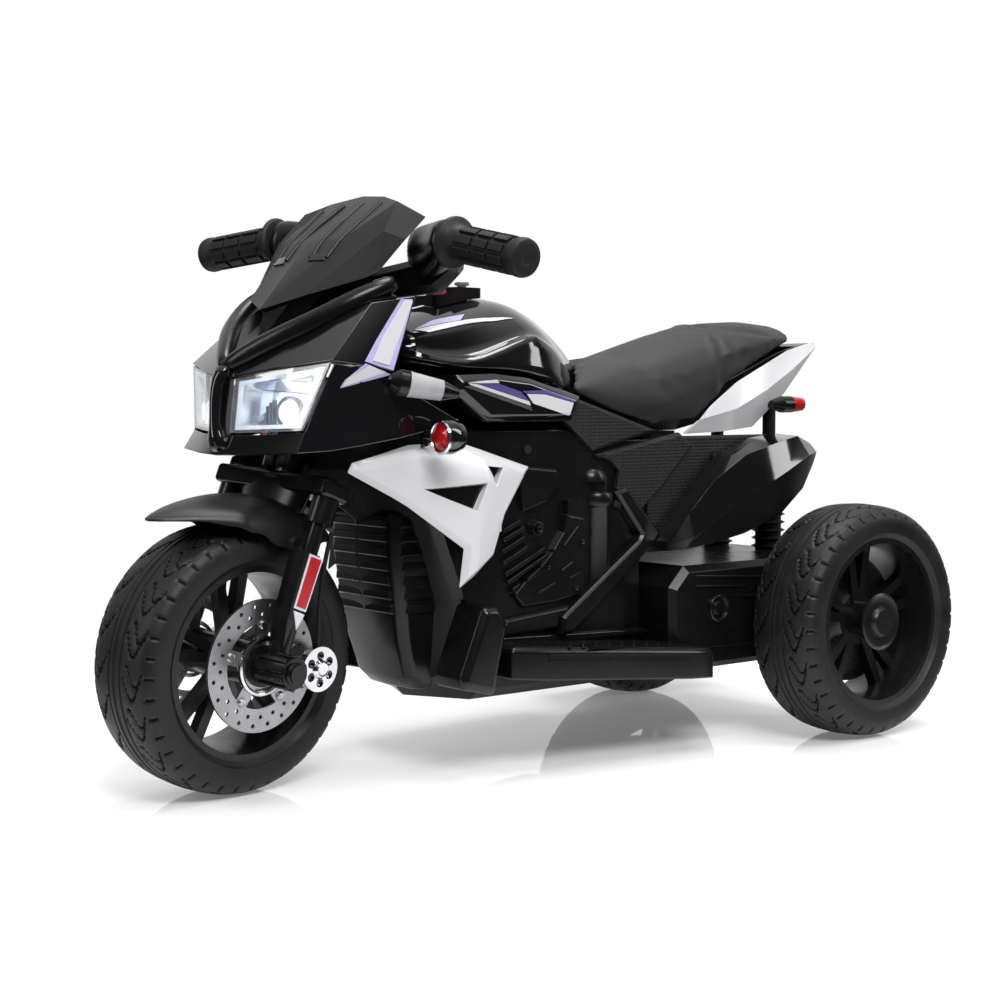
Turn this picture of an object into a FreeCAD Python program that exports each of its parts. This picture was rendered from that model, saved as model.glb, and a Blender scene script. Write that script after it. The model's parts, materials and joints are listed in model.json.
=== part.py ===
import FreeCAD, Part
import math
import os

os.makedirs("parts", exist_ok=True)

# Ride-on toy motorbike with one steered front wheel and two rear wheels.
# +X forward, +Y left, +Z up, origin on the ground midway between the axles, millimetres.

# Running gear
wheel_radius = 110.0
tyre_width = 77.0
tyre_wall = 7.0
tread_depth = 2.5
rim_radius = 78.0
rim_width = 66.0
rim_wall = 4.0
rim_dish = 12.0
hub_radius = 17.0
spoke_pairs = 5
spoke_width = 9.0
spoke_thick = 10.0
wheelbase = 594.0
deck_height = 300.0
track = 314.0
axle_radius = 5.0
nut_radius = 8.0
nut_length = 5.0
running_fit = 0.05
clearance = 0.4
overrun = 5.0
wall = 3.0

# Steering
rake = 21.0
steer_rest = 9.3
steer_setback = 21.0
column_radius = 8.0
head_radius = 20.0
cowl_arm_radius = 6.0
cowl_arm_lift = 35.0
head_start = 160.0
fork_half = 59.0
leg_radius = 9.0
tube_radius = 6.5
sleeve_radius = 11.0
leg_top = 96.0
tube_top = 121.0
crown_start = 142.0
crown_height = 16.0
crown_depth = 30.0
clamp_radius = 12.5
clamp_inner = 47.5
clamp_length = 38.0
bar_radius = 7.5
arm_radius = 9.0
bar_lift = 114.0
bar_height = deck_height + bar_lift
bar_rise_half = 97.0
arm_height = 38.0
arm_depth = 30.0
bar_rise = 41.0
bar_end_half = 186.0
bar_end_drop = 13.0
bar_sweep = 9.0
stem_half = 20.0
stem_thick = 24.0
grip_start_share = 0.11
grip_radius = 13.5
grip_flange_radius = 21.5
grip_flange_thick = 4.0
grip_end_radius = 15.5
grip_end_length = 9.0
grip_reach = 12.0
grip_rib = 1.0
grip_ribs = 8

# Front brake and mudguard
disc_radius = 54.0
disc_inner = 35.0
disc_thick = 2.5
disc_offset = 42.5
disc_hole_radius = 1.8
disc_holes = 20
disc_tabs = 5
tab_width = 12.0
ring_radius = 19.0
ring_length = 4.0
caliper_radius = 18.5
caliper_thick = 7.0
caliper_back = 45.0
caliper_drop = 5.0
caliper_arm = 10.0
caliper_windows = 6
hose_radius = 1.9
hose_rise = 92.0
guard_radius = 134.0
guard_half = 46.0
guard_drop = 15.0
guard_wall = 2.6
guard_front = 55.0
beak_length = 84.0
guard_sweep = 70.0
stay_width = 26.0

# Rear axle, drive and housing
rear_axle_radius = 6.0
rear_nut_radius = 10.0
housing_edge = 6.0
lid_thick = 3.0
gear_module = 1.25
gear_teeth = 36
pinion_teeth = 12
gear_width = 10.0
gear_inset = 14.0
backlash = 0.35
pressure_angle = 20.0
sleeve_wall = 3.5
case_wall = 2.5
case_room = 2.0
motor_radius = 14.0
motor_length = 44.0
motor_shaft = 1.5
battery_length = 70.0
battery_width = 47.0
battery_height = 101.0
battery_place = -55.0
battery_lift = 1.0
terminal_radius = 3.0
terminal_height = 6.0
speaker_radius = 28.0
speaker_depth = 15.0
speaker_place = 90.0
shock_radius = 13.0
shock_rib = 4.0
shock_ribs = 9
shock_back = -10.0
shock_half = 36.0

# Lamps
lens_thick = 2.5
reflector_depth = 26.0
reflector_wall = 1.6
reflector_taper_share = 0.55
lamp_radius = 10.0
lamp_length = 10.0
blinker_radius = 10.5
blinker_base = 15.0
blinker_lens = 28.0
blinker_tip = 14.0
blinker_wall = 1.6
side_lamp_radius = 14.0
side_lamp_depth = 18.0
side_lamp_lens_radius = 11.5
side_lamp_lens_depth = 5.0
side_lamp_out = 131.0
side_lamp_x = 158.0
side_lamp_lift = 15.0
stalk_radius = 3.5
stalk_drop = 14.0
rear_blinker_x = -258.0
rear_blinker_lift = 26.5
rear_blinker_out = 84.0
rear_blinker_radius = 8.0
rear_blinker_length = 26.0
rear_blinker_lens = 16.0

# Dash and controls
dash_setback = 60.0
dash_length = 52.0
dash_step_length = 22.0
dash_step = 7.5
dash_half = 22.0
dash_rise = 2.5
dash_thick = 22.0
dash_edge = 5.0
start_radius = 6.5
start_side = 12.0
horn_radius = 6.5
horn_place = 37.0
horn_side = 11.0
button_stem = 4.0
button_height = 3.0
button_depth = 26.0
button_flange = 2.0
button_travel = 1.6
rocker_length = 18.0
rocker_width = 9.0
rocker_place = 37.0
rocker_pivot = 2.0
pedal_length = 62.0
pedal_half = 13.0
pedal_thick = 4.0
pedal_out = 105.0
pedal_heel = 2.0
pedal_pin = 2.5
pedal_barrel = 5.0
pedal_lift = 13.0
lug_width = 5.0
socket_radius = 7.0
socket_flange = 10.0
socket_flange_thick = 2.5
socket_depth = 16.0
socket_bore = 2.85
socket_x = -18.0
screw_radius = 4.0
screw_height = 2.0

# Panels
tank_front = 160.0
cowl_drop = 139.0
screen_lift = 83.0
panel_drop = 112.0
board_front = 88.0
board_tuck = 34.7
strake_lift = 0.4
tank_lift = 5.0
frame_sink = 9.7
seat_sink = 9.5
tail_sink = 12.5
cover_drop = 88.0
muffler_lift = 14.0
muffler_lug_radius = 8.0
shield_rise = 10.0
brace_rise = 52.0
board_rise = 6.0
recess_depth = 6.0
slot_length = 7.0
slot_height = 5.0
slot_tilt = 48.0
body_length = 338.0
body_height = 240.0
body_rear = -103.0
body_half = 72.0
body_bottom = deck_height - body_height
tank_length = 240.0
tank_height = 110.0
tank_rear = tank_front - tank_length
tank_half = 86.0
tank_bottom = deck_height + tank_lift
strake_rear = -12.0
strake_length = 144.0
strake_half = 92.0
strake_bottom = deck_height + strake_lift
strake_height = 42.0
frame_rear = -386.0
frame_length = 324.0
frame_half = 68.0
frame_bottom = deck_height - frame_sink
frame_height = 92.0
seat_rear = -350.0
seat_length = 336.0
seat_half = 80.0
seat_bottom = deck_height - seat_sink
seat_height = 108.0
tail_rear = -388.0
tail_length = 232.0
tail_half = 77.0
tail_bottom = deck_height - tail_sink
tail_height = 89.0
cowl_rear = 140.0
cowl_length = 167.0
cowl_half = 114.0
cowl_bottom = bar_height - cowl_drop
cowl_height = 130.0
screen_rear = 150.0
screen_length = 125.0
screen_half = 90.0
screen_bottom = cowl_bottom + screen_lift
screen_height = 134.0
panel_rear = 50.0
panel_length = 190.0
panel_bottom = cowl_bottom - panel_drop
panel_height = 122.0
cover_rear = -160.0
cover_length = 160.0
cover_bottom = deck_height - cover_drop
cover_height = 110.0
brace_rear = -112.0
brace_length = 120.0
brace_bottom = body_bottom + brace_rise
brace_height = 130.0
shield_rear = 60.0
shield_length = 80.0
shield_bottom = body_bottom + shield_rise
shield_height = 78.0
housing_rear = -347.0
housing_length = 243.7
housing_half = 108.0
housing_bottom = 70.0
housing_height = 97.0
muffler_rear = -290.0
muffler_length = 186.0
muffler_half = 132.0
muffler_bottom = housing_bottom + housing_height + muffler_lift
muffler_height = 105.0
board_rear = housing_rear + housing_length - board_tuck
board_length = board_front - board_rear
board_half = 138.0
board_bottom = body_bottom + board_rise
board_height = 46.0
cowl_arm_height = cowl_bottom + cowl_arm_lift
side_lamp_z = cowl_bottom + side_lamp_lift
rear_blinker_z = tail_bottom + rear_blinker_lift
dash_front = tank_front - dash_setback
dash_top = tank_bottom + tank_height + dash_rise
body_edge = 8.0
panel_start = 90.0
panel_thick = 14.0
panel_undercut = 5.0
rear_cover_thick = 4.0
boss_length = 44.0
boss_height = 40.0
boss_place_share = 0.14
boss_height_share = 0.36
panel_edge = 5.0
strake_inner = 50.0
strake_edge = 6.0
cover_thick = 7.5
brace_thick = 12.0
shield_thick = 41.0
sheet = 2.8
seat_gap = 0.5
board_slope = 18.0
board_lip = 4.0

body_mid_shares = [
    (0, 0), (0.66, 0), (0.719, 0.083), (0.722, 0.354), (0.811, 0.658), (1, 0.842), (0.979, 1),
    (0.305, 1), (0.127, 0.958), (-0.139, 0.958), (-0.056, 0.542), (0, 0.45)]
body_side_shares = [
    (0, 0.008), (0.589, 0.008), (0.636, 0.092), (0.642, 0.354), (0.725, 0.658), (0.867, 0.842),
    (0.855, 1), (0.305, 1), (0.127, 0.958), (-0.133, 0.958), (-0.05, 0.542), (0, 0.45)]
tank_station_shares = [0.992, 0.792, 0.604, 0.475, 0.333, 0.208, 0.083, 0]
strake_shares = [
    (0.083, 0), (0.75, 0), (0.993, 0.61), (0.965, 0.943), (0.694, 0.99), (0.431, 0.91), (0.007, 0.514)]
frame_station_shares = [1, 0.728, 0.512, 0.265, 0.127, 0]
seat_station_shares = [1, 0.863, 0.714, 0.536, 0.372, 0.351, 0.33, 0.179, 0.045, 0]
tail_low_shares = [
    (1, 0.864, 0), (0.81, 0.922, 0.017), (0.625, 0.909, 0.062), (0.392, 0.792, 0.421),
    (0.207, 0.61, 0.736), (0.022, 0.26, 0.927)]
tail_mid_shares = [
    (0.94, 0.948, 0.14), (0.746, 1, 0.253), (0.56, 0.974, 0.455), (0.358, 0.844, 0.68),
    (0.185, 0.649, 0.86), (0.009, 0.312, 0.961)]
tail_top_shares = [
    (0.871, 0.922, 0.275), (0.716, 0.922, 0.534), (0.509, 0.857, 0.747), (0.332, 0.688, 0.882),
    (0.164, 0.545, 0.961), (0, 0.26, 0.994)]
chin_low_shares = [
    (0.994, 0, 0), (0.952, 0.351, 0.008), (0.868, 0.789, 0.023), (0.731, 0.904, 0.035),
    (0.575, 0.93, 0.062), (0.383, 0.947, 0.1), (0.012, 0.947, 0.192)]
chin_top_shares = [
    (0.976, 0, 0.123), (0.916, 0.368, 0.131), (0.814, 0.763, 0.146), (0.737, 0.974, 0.558),
    (0.599, 0.991, 0.531), (0.419, 0.978, 0.462), (0.012, 0.956, 0.215)]
brow_low_shares = [
    (0.952, 0, 0.477), (0.934, 0.105, 0.481), (0.868, 0.491, 0.531), (0.746, 0.965, 0.581),
    (0.599, 1, 0.554), (0.413, 0.982, 0.485)]
brow_top_shares = [
    (0.94, 0, 0.508), (0.898, 0.123, 0.55), (0.754, 0.439, 0.7), (0.599, 0.684, 0.838),
    (0.461, 0.833, 0.938), (0.228, 0.886, 0.985)]
beam_outer_shares = [
    (0.94, 0, 0.519), (0.766, 0.43, 0.712), (0.605, 0.675, 0.85), (0.467, 0.829, 0.95),
    (0.335, 0.868, 0.977)]
beam_crest_shares = [
    (0.934, 0, 0.577), (0.743, 0.386, 0.762), (0.575, 0.596, 0.9), (0.443, 0.737, 0.977),
    (0.323, 0.789, 0.996)]
beam_inner_shares = [
    (0.856, 0, 0.6), (0.695, 0.281, 0.746), (0.527, 0.474, 0.854), (0.395, 0.614, 0.915),
    (0.299, 0.667, 0.938)]
beam_hood_shares = [
    (0.766, 0, 0.654), (0.635, 0.123, 0.762), (0.467, 0.211, 0.838), (0.359, 0.263, 0.869),
    (0.275, 0.281, 0.885)]
beam_neck_shares = [
    (0.701, 0, 0.942), (0.641, 0.263, 1.004), (0.533, 0.509, 1.062), (0.449, 0.667, 1.112),
    (0.401, 0.719, 1.135)]
nose_low_shares = [
    (0.976, 0, 0.127), (0.952, 0.101, 0.127), (0.862, 0.101, 0.127), (0.862, -0.101, 0.127),
    (0.952, -0.101, 0.127)]
nose_top_shares = [
    (0.946, 0, 0.473), (0.922, 0.101, 0.473), (0.838, 0.101, 0.473), (0.838, -0.101, 0.473),
    (0.922, -0.101, 0.473)]
lens_low_shares = [(0.955, 0.11, 0.138), (0.892, 0.421, 0.146), (0.82, 0.741, 0.158)]
lens_top_shares = [(0.925, 0.11, 0.469), (0.856, 0.491, 0.519), (0.749, 0.943, 0.565)]
screen1_shares = [(0.904, 0, 0.261), (0.776, 0.467, 0.336), (0.528, 0.889, 0.433), (0.456, 0.978, 0.47)]
screen2_shares = [(0.528, 0, 0.687), (0.472, 0.489, 0.701), (0.36, 0.889, 0.724), (0.224, 0.956, 0.679)]
screen3_shares = [(0.08, 0, 1), (0.128, 0.444, 0.97), (0.192, 0.778, 0.918), (0.024, 0.889, 0.828)]
panel_shares = [
    (1, 0.811), (0.979, 0.877), (0.679, 0.984), (0.411, 1), (0, 0.811), (0.142, 0.484), (0.221, 0.205),
    (0.442, 0), (0.416, 0.27), (0.716, 0.574)]
cover_shares = [
    (0.775, 0.527), (0.4, 0.627), (0.119, 0.695), (0.013, 0.582), (0.25, 0.245), (0.45, 0.018),
    (0.625, 0.1), (0.588, 0.391), (0.644, 0.473)]
upper_cover_shares = [(0.922, 0.991), (0.991, 0.802), (0.781, 0.559), (0.3, 0.714), (0.631, 0.855)]
rear_cover_shares = [
    (0.375, 0.664), (-0.637, 0.664), (-0.644, 0.591), (-0.444, 0.555), (-0.05, 0.091), (0.144, -0.305),
    (0.344, -0.305)]
brace_shares = [
    (1, 0), (0.883, 0), (0.067, 0.569), (0, 0.654), (0.35, 0.985), (0.467, 0.954), (0.2, 0.646),
    (0.233, 0.6), (0.983, 0.123)]
shield_shares = [(0.55, 0.026), (0.975, 0.128), (1, 0.256), (0.7, 0.987), (0.5, 0.987), (0.375, 0.769)]
board_shares = [
    (1, 0.525), (1, 0.812), (0.876, 0.884), (0.168, 1), (0.035, 0.971), (0, 0.884), (0.018, 0.787),
    (0.157, 0.787), (0.157, 0.525)]
muffler_station_shares = [1, 0.914, 0.774, 0.57, 0.323, 0.134, 0]
housing_shares = [(1, 0), (1, 0.804), (0.923, 1), (0.07, 1), (0, 0.825), (0, 0)]
tank_ring_shares = [
    [(0.651, 0.409), (0.721, 0.464), (0.698, 0.518), (0.674, 0.536),
     (0.663, 0.591), (0.349, 0.7), (0, 0.736)],
    [(0.884, 0.355), (0.977, 0.368), (0.93, 0.4), (0.814, 0.427),
     (0.709, 0.7), (0.349, 0.818), (0, 0.855)],
    [(0.93, 0.336), (1, 0.373), (0.942, 0.555), (0.814, 0.573),
     (0.698, 0.773), (0.349, 0.909), (0, 0.945)],
    [(0.93, 0.282), (1, 0.336), (0.93, 0.627), (0.791, 0.664),
     (0.674, 0.795), (0.326, 0.936), (0, 0.986)],
    [(0.884, 0.182), (0.93, 0.264), (0.86, 0.482), (0.767, 0.555),
     (0.581, 0.682), (0.291, 0.809), (0, 0.9)],
    [(0.605, 0.155), (0.651, 0.209), (0.581, 0.318), (0.512, 0.409),
     (0.442, 0.482), (0.233, 0.655), (0, 0.782)],
    [(0.233, 0.173), (0.279, 0.209), (0.256, 0.3), (0.209, 0.373),
     (0.174, 0.427), (0.093, 0.518), (0, 0.582)],
    [(0.047, 0.227), (0.058, 0.245), (0.058, 0.273), (0.047, 0.3),
     (0.035, 0.327), (0.023, 0.345), (0, 0.364)]]
frame_ring_shares = [
    [(0.853, 0), (0.882, 0.095)],
    [(0.912, 0), (0.971, 0.225)],
    [(0.824, 0.138), (0.926, 0.518)],
    [(0.647, 0.41), (0.765, 0.812)],
    [(0.5, 0.616), (0.618, 0.899)],
    [(0.235, 0.834), (0.279, 0.942)]]
seat_ring_shares = [
    [(0.95, 0.319), (0.988, 0.375), (0, 0.505)],
    [(0.975, 0.153), (1, 0.384), (0, 0.574)],
    [(0.95, 0.037), (0.988, 0.421), (0, 0.616)],
    [(0.925, 0.079), (0.963, 0.551), (0, 0.782)],
    [(0.85, 0.431), (0.887, 0.699), (0, 0.931)],
    [(0.825, 0.458), (0.838, 0.69), (0, 0.894)],
    [(0.825, 0.486), (0.863, 0.736), (0, 0.944)],
    [(0.688, 0.662), (0.75, 0.819), (0, 0.995)],
    [(0.463, 0.778), (0.5, 0.847), (0, 0.977)],
    [(0.237, 0.801), (0.275, 0.829), (0, 0.884)]]
muffler_ring_shares = [
    [(0.636, 0.01), (0.742, 0.01), (0.773, 0.048), (0.742, 0.086), (0.636, 0.086)],
    [(0.609, 0), (0.818, 0.019), (0.894, 0.124), (0.848, 0.333), (0.609, 0.257)],
    [(0.609, 0.029), (0.879, 0.057), (0.97, 0.295), (0.902, 0.619), (0.609, 0.524)],
    [(0.609, 0.105), (0.909, 0.133), (1, 0.486), (0.924, 0.829), (0.609, 0.81)],
    [(0.609, 0.248), (0.924, 0.276), (1, 0.676), (0.909, 0.933), (0.609, 0.962)],
    [(0.609, 0.476), (0.902, 0.505), (0.962, 0.81), (0.848, 0.981), (0.609, 1)],
    [(0.636, 0.695), (0.833, 0.724), (0.864, 0.829), (0.803, 0.905), (0.636, 0.914)]]
shoulder_share = 0.42
bead_share = 0.93
crown_share = 0.62
band_share = 0.3
spoke_split_share = 0.14
disc_row_shares = [0.35, 0.72]
caliper_mount_share = 0.6
caliper_window_share = 0.6
caliper_hole_share = 0.2
hose_bend_share = 0.35
hose_lean_share = -0.12
hose_mid_share = 0.5
hose_bow_share = -0.02
guard_shoulder_share = 0.3
guard_edge_share = 0.86
guard_crown_share = 0.4
guard_stay_share = 1.02
guard_stay_low_share = 0.72
beak_shares = [(0, 0.1), (0.4, 0.58), (1, 1.04)]
leg_section_shares = [(0.16, -0.9, 0.9, 0.9), (0.42, -1, 1.6, 1), (1, -1, 1.9, 1)]
arm_section_shares = [
    (0, -0.87, 0.87, 0, 0.66), (0.52, -1.5, 0, 0.24, 0.76), (0.77, -1.9, -0.55, 0.36, 0.84),
    (0.95, -1.9, -0.9, 0.78, 0.93), (1.06, -1.2, 0.87, 0.92, 0.97)]
muffler_lug_shares = (0.54, 0.78)
chamfer_share = 0.3
rib_end_share = 0.9
reflector_mouth_share = 0.9
reflector_thin_share = 0.92
blinker_foot_share = 0.5
blinker_neck_share = 0.8
blinker_end_share = 0.35
blinker_place_shares = [(0.44, 1, 0.46)]
blinker_way_shares = (-0.9, 0.35, -0.18)
lens_dome_share = 0.7
gear_root_share = 1.2
gear_tip_share = 0.95
flank_shares = [0, 0.3, 0.6, 1]
socket_height_share = 0.8417
head_share = 0.55
slot_place_shares = [(0.544, 0.233, 0.582)]
window_shares = [(0.284, 0.828), (0.184, 0.811), (0.232, 0.689)]
recess_shares = [(0.642, 0.689), (0.295, 0.713), (0.358, 0.525)]
screw_shares = [(0.36, 0.4), (0.45, 0.27), (0.38, 0.62), (0.42, 0.9)]

# Reference boxes: rear end, length, half width, bottom, height
body_box = (body_rear, body_length, body_half, body_bottom, body_height)
tank_box = (tank_rear, tank_length, tank_half, tank_bottom, tank_height)
strake_box = (strake_rear, strake_length, strake_half, strake_bottom, strake_height)
frame_box = (frame_rear, frame_length, frame_half, frame_bottom, frame_height)
seat_box = (seat_rear, seat_length, seat_half, seat_bottom, seat_height)
tail_box = (tail_rear, tail_length, tail_half, tail_bottom, tail_height)
cowl_box = (cowl_rear, cowl_length, cowl_half, cowl_bottom, cowl_height)
screen_box = (screen_rear, screen_length, screen_half, screen_bottom, screen_height)
panel_box = (panel_rear, panel_length, panel_start + panel_thick, panel_bottom, panel_height)
cover_box = (cover_rear, cover_length, body_half + cover_thick, cover_bottom, cover_height)
brace_box = (brace_rear, brace_length, body_half + brace_thick, brace_bottom, brace_height)
shield_box = (shield_rear, shield_length, body_half + shield_thick, shield_bottom, shield_height)
housing_box = (housing_rear, housing_length, housing_half, housing_bottom, housing_height)
muffler_box = (muffler_rear, muffler_length, muffler_half, muffler_bottom, muffler_height)
board_box = (board_rear, board_length, board_half, board_bottom, board_height)


def vec(x, y, z):
    return FreeCAD.Vector(x, y, z)


origin = vec(0, 0, 0)
lateral = vec(0, 1, 0)
forward = vec(1, 0, 0)
upward = vec(0, 0, 1)
front_axle = vec(wheelbase / 2, 0, wheel_radius)
rear_axle = vec(-wheelbase / 2, 0, wheel_radius)
steer_axis = vec(-math.sin(math.radians(rake)), 0, math.cos(math.radians(rake)))
steer_forward = vec(math.cos(math.radians(rake)), 0, math.sin(math.radians(rake)))


def save(node, shapes):
    if isinstance(shapes, list):
        shapes = Part.makeCompound(shapes)
    shapes.exportStep("parts/" + node + ".step")


def save_turned(node, shapes):
    turned = []
    for shape in shapes if isinstance(shapes, list) else [shapes]:
        turned.append(shape.copy())
        turned[-1].rotate(front_axle, steer_axis, steer_rest)
    save(node, turned if len(turned) > 1 else turned[0])


def mirrored(shape):
    return shape.mirror(origin, lateral)


def pair(shape):
    return [shape, mirrored(shape)]


def rod(start, direction, radius, length):
    return Part.makeCylinder(radius, length, start, direction)


def block(low, high):
    return Part.makeBox(high.x - low.x, high.y - low.y, high.z - low.z, low)


def flat_face(points):
    return Part.Face(Part.makePolygon(points + [points[0]]))


def patch(corners):
    kept = []
    for point in corners:
        if not kept or (point - kept[-1]).Length > running_fit / 10:
            kept.append(point)
    if len(kept) > 1 and (kept[0] - kept[-1]).Length < running_fit / 10:
        kept.pop()
    if len(kept) < 3:
        return []
    if len(kept) == 3:
        return [flat_face(kept)]
    normal = (kept[1] - kept[0]).cross(kept[2] - kept[0])
    if abs(normal.dot(kept[3] - kept[0])) < running_fit / 50 * normal.Length:
        return [flat_face(kept)]
    return [flat_face(kept[:3]), flat_face([kept[0], kept[2], kept[3]])]


def closed(faces):
    solid = Part.Solid(Part.Shell(faces))
    if solid.Volume < 0:
        solid.reverse()
    return solid


def skin(sections):
    faces = []
    count = len(sections[0])
    for near, far in zip(sections, sections[1:]):
        for i in range(count):
            j = (i + 1) % count
            faces += patch([near[i], near[j], far[j], far[i]])
    for end in (sections[0], sections[-1]):
        if count == 4:
            faces += patch(end)
        else:
            faces.append(flat_face(end))
    return closed(faces)


def bent_sheet(rows, thickness):
    height = len(rows)
    width = len(rows[0])
    normals = [[vec(0, 0, 0) for _ in range(width)] for _ in range(height)]
    for r in range(height - 1):
        for c in range(width - 1):
            across = rows[r + 1][c + 1] - rows[r][c]
            facing = across.cross(rows[r + 1][c] - rows[r][c + 1])
            for place in ((r, c), (r, c + 1), (r + 1, c), (r + 1, c + 1)):
                normals[place[0]][place[1]] += facing
    inner = []
    for r in range(height):
        line = []
        for c in range(width):
            direction = normals[r][c]
            direction.normalize()
            line.append(rows[r][c] + direction * thickness)
        inner.append(line)
    faces = []
    for r in range(height - 1):
        for c in range(width - 1):
            for grid in (rows, inner):
                faces += patch([grid[r][c], grid[r][c + 1], grid[r + 1][c + 1], grid[r + 1][c]])
    for c in range(width - 1):
        for r in (0, height - 1):
            faces += patch([rows[r][c], rows[r][c + 1], inner[r][c + 1], inner[r][c]])
    for r in range(height - 1):
        for c in (0, width - 1):
            faces += patch([rows[r][c], rows[r + 1][c], inner[r + 1][c], inner[r][c]])
    return closed(faces)


def inset(points, distance):
    count = len(points)
    area = 0
    for i in range(count):
        a = points[i]
        b = points[(i + 1) % count]
        area += a[0] * b[1] - b[0] * a[1]
    turn = 1 if area > 0 else -1
    result = []
    for i in range(count):
        a = points[i - 1]
        b = points[i]
        c = points[(i + 1) % count]
        first = math.hypot(b[0] - a[0], b[1] - a[1])
        second = math.hypot(c[0] - b[0], c[1] - b[1])
        n1 = (-(b[1] - a[1]) / first * turn, (b[0] - a[0]) / first * turn)
        n2 = (-(c[1] - b[1]) / second * turn, (c[0] - b[0]) / second * turn)
        reach = distance / (1 + n1[0] * n2[0] + n1[1] * n2[1])
        result.append((b[0] + (n1[0] + n2[0]) * reach, b[1] + (n1[1] + n2[1]) * reach))
    return result


def side_points(box, shares):
    return [(box[0] + box[1] * x, box[3] + box[4] * z) for x, z in shares]


def space_points(box, shares):
    return [vec(box[0] + box[1] * x, box[2] * y, box[3] + box[4] * z) for x, y, z in shares]


def ring_points(box, shares):
    return [(box[2] * y, box[3] + box[4] * z) for y, z in shares]


def at_y(points, y):
    return [vec(x, y, z) for x, z in points]


def at_x(points, x):
    return [vec(x, y, z) for y, z in points]


def both_sides(points):
    other = [vec(p.x, -p.y, p.z) for p in points[1:]]
    return other[::-1] + points


def both_halves(points):
    other = [(-y, z) for y, z in points if y > running_fit]
    return points + other[::-1]


def pillow(outline, levels):
    return skin([at_y(inset(outline, depth) if depth else outline, y) for y, depth in levels])


def eight_sided(a0, a1, b0, b1):
    cut = min(a1 - a0, b1 - b0) * chamfer_share
    low = [(a0 + cut, b0), (a1 - cut, b0), (a1, b0 + cut), (a1, b1 - cut)]
    return low + [(a1 - cut, b1), (a0 + cut, b1), (a0, b1 - cut), (a0, b0 + cut)]


def lathe(profile, start, direction):
    points = [vec(r, 0, h) for r, h in profile]
    solid = Part.makeSolid(Part.Shell(flat_face(points).revolve(origin, upward, 360).Faces))
    if solid.Volume < 0:
        solid.reverse()
    solid.Placement = FreeCAD.Placement(start, FreeCAD.Rotation(upward, direction))
    return solid


def steered(shape):
    turn = FreeCAD.Placement(front_axle, FreeCAD.Rotation(lateral, -rake))
    shape.Placement = turn.multiply(shape.Placement)
    return shape


def on_axis(height):
    return front_axle + steer_axis * height


def axis_at(z):
    return on_axis((z - wheel_radius) / math.cos(math.radians(rake)))


# Wheels
def make_tyre():
    half = tyre_width / 2
    bead = rim_width / 2 - rim_wall - clearance
    shoulder = wheel_radius - (wheel_radius - rim_radius) * shoulder_share
    flange = rim_radius + rim_wall + clearance
    outer = [(rim_radius, bead), (flange, bead)]
    outer += [(rim_radius + tyre_wall, half * bead_share), (shoulder, half)]
    outer += [(wheel_radius - tread_depth, half * crown_share), (wheel_radius, half * band_share)]
    inner = [(rim_radius, bead - tyre_wall), (shoulder - tyre_wall, half - tyre_wall)]
    inner += [(wheel_radius - tread_depth - tyre_wall, half * crown_share - tyre_wall / 2)]
    profile = outer + [(r, -y) for r, y in outer[::-1]] + [(r, -y) for r, y in inner] + inner[::-1]
    return lathe(profile, origin, lateral)


def make_rim(hub_in, hub_out, bore):
    half = rim_width / 2
    well = rim_radius - rim_wall
    profile = [(rim_radius - running_fit, half - rim_wall), (rim_radius - running_fit, rim_wall - half)]
    profile += [(rim_radius + rim_wall, rim_wall - half - clearance), (rim_radius + rim_wall, -half)]
    profile += [(well, -half), (well - rim_wall, -rim_dish), (well - rim_wall, rim_dish)]
    profile += [(well, half), (rim_radius + rim_wall, half)]
    profile += [(rim_radius + rim_wall, half - rim_wall + clearance)]
    wheel = lathe(profile, origin, lateral)
    hub = rod(vec(0, hub_in, 0), lateral, hub_radius, hub_out - hub_in)
    pieces = [hub]
    pitch = math.pi * 2 / spoke_pairs
    for pair_index in range(spoke_pairs):
        for side in (-1, 1):
            spoke = Part.makeBox(spoke_width, spoke_thick, well - hub_radius / 2)
            spoke.translate(vec(-spoke_width / 2, -spoke_thick / 2, hub_radius / 2))
            angle = pair_index * pitch + side * pitch * spoke_split_share
            spoke.rotate(origin, lateral, math.degrees(angle))
            pieces.append(spoke)
    reach = rod(vec(0, hub_in, 0), lateral, well - rim_wall / 2, hub_out - hub_in)
    trimmed = pieces[0].multiFuse(pieces[1:]).common(reach)
    wheel = wheel.fuse(trimmed).removeSplitter()
    return wheel.cut(rod(vec(0, hub_in - overrun, 0), lateral, bore, hub_out - hub_in + overrun * 2))


def placed(shape, place):
    shape = shape.copy()
    shape.translate(place)
    return shape


def make_disc():
    ring = rod(vec(0, disc_offset, 0), lateral, disc_radius, disc_thick)
    ring = ring.cut(rod(vec(0, disc_offset - overrun, 0), lateral, disc_inner, disc_thick + overrun * 2))
    collar = rod(vec(0, disc_offset - disc_thick, 0), lateral, ring_radius, ring_length)
    pieces = [ring, collar]
    for i in range(disc_tabs):
        tab = Part.makeBox(tab_width, disc_thick, disc_inner + tab_width / 4 - ring_radius / 2)
        tab.translate(vec(-tab_width / 2, disc_offset, ring_radius / 2))
        tab.rotate(origin, lateral, i * 360 / disc_tabs)
        pieces.append(tab)
    disc = pieces[0].multiFuse(pieces[1:])
    holes = []
    for row, share in enumerate(disc_row_shares):
        for i in range(disc_holes):
            angle = math.radians((i + row / 2) * 360 / disc_holes)
            reach = disc_inner + (disc_radius - disc_inner) * share
            start = vec(math.sin(angle) * reach, disc_offset - overrun, math.cos(angle) * reach)
            holes.append(rod(start, lateral, disc_hole_radius, disc_thick + overrun * 2))
    centre = vec(0, disc_offset - overrun, 0)
    holes.append(rod(centre, lateral, hub_radius + running_fit, overrun * 2 + ring_length))
    return disc.cut(Part.makeCompound(holes))


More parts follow.
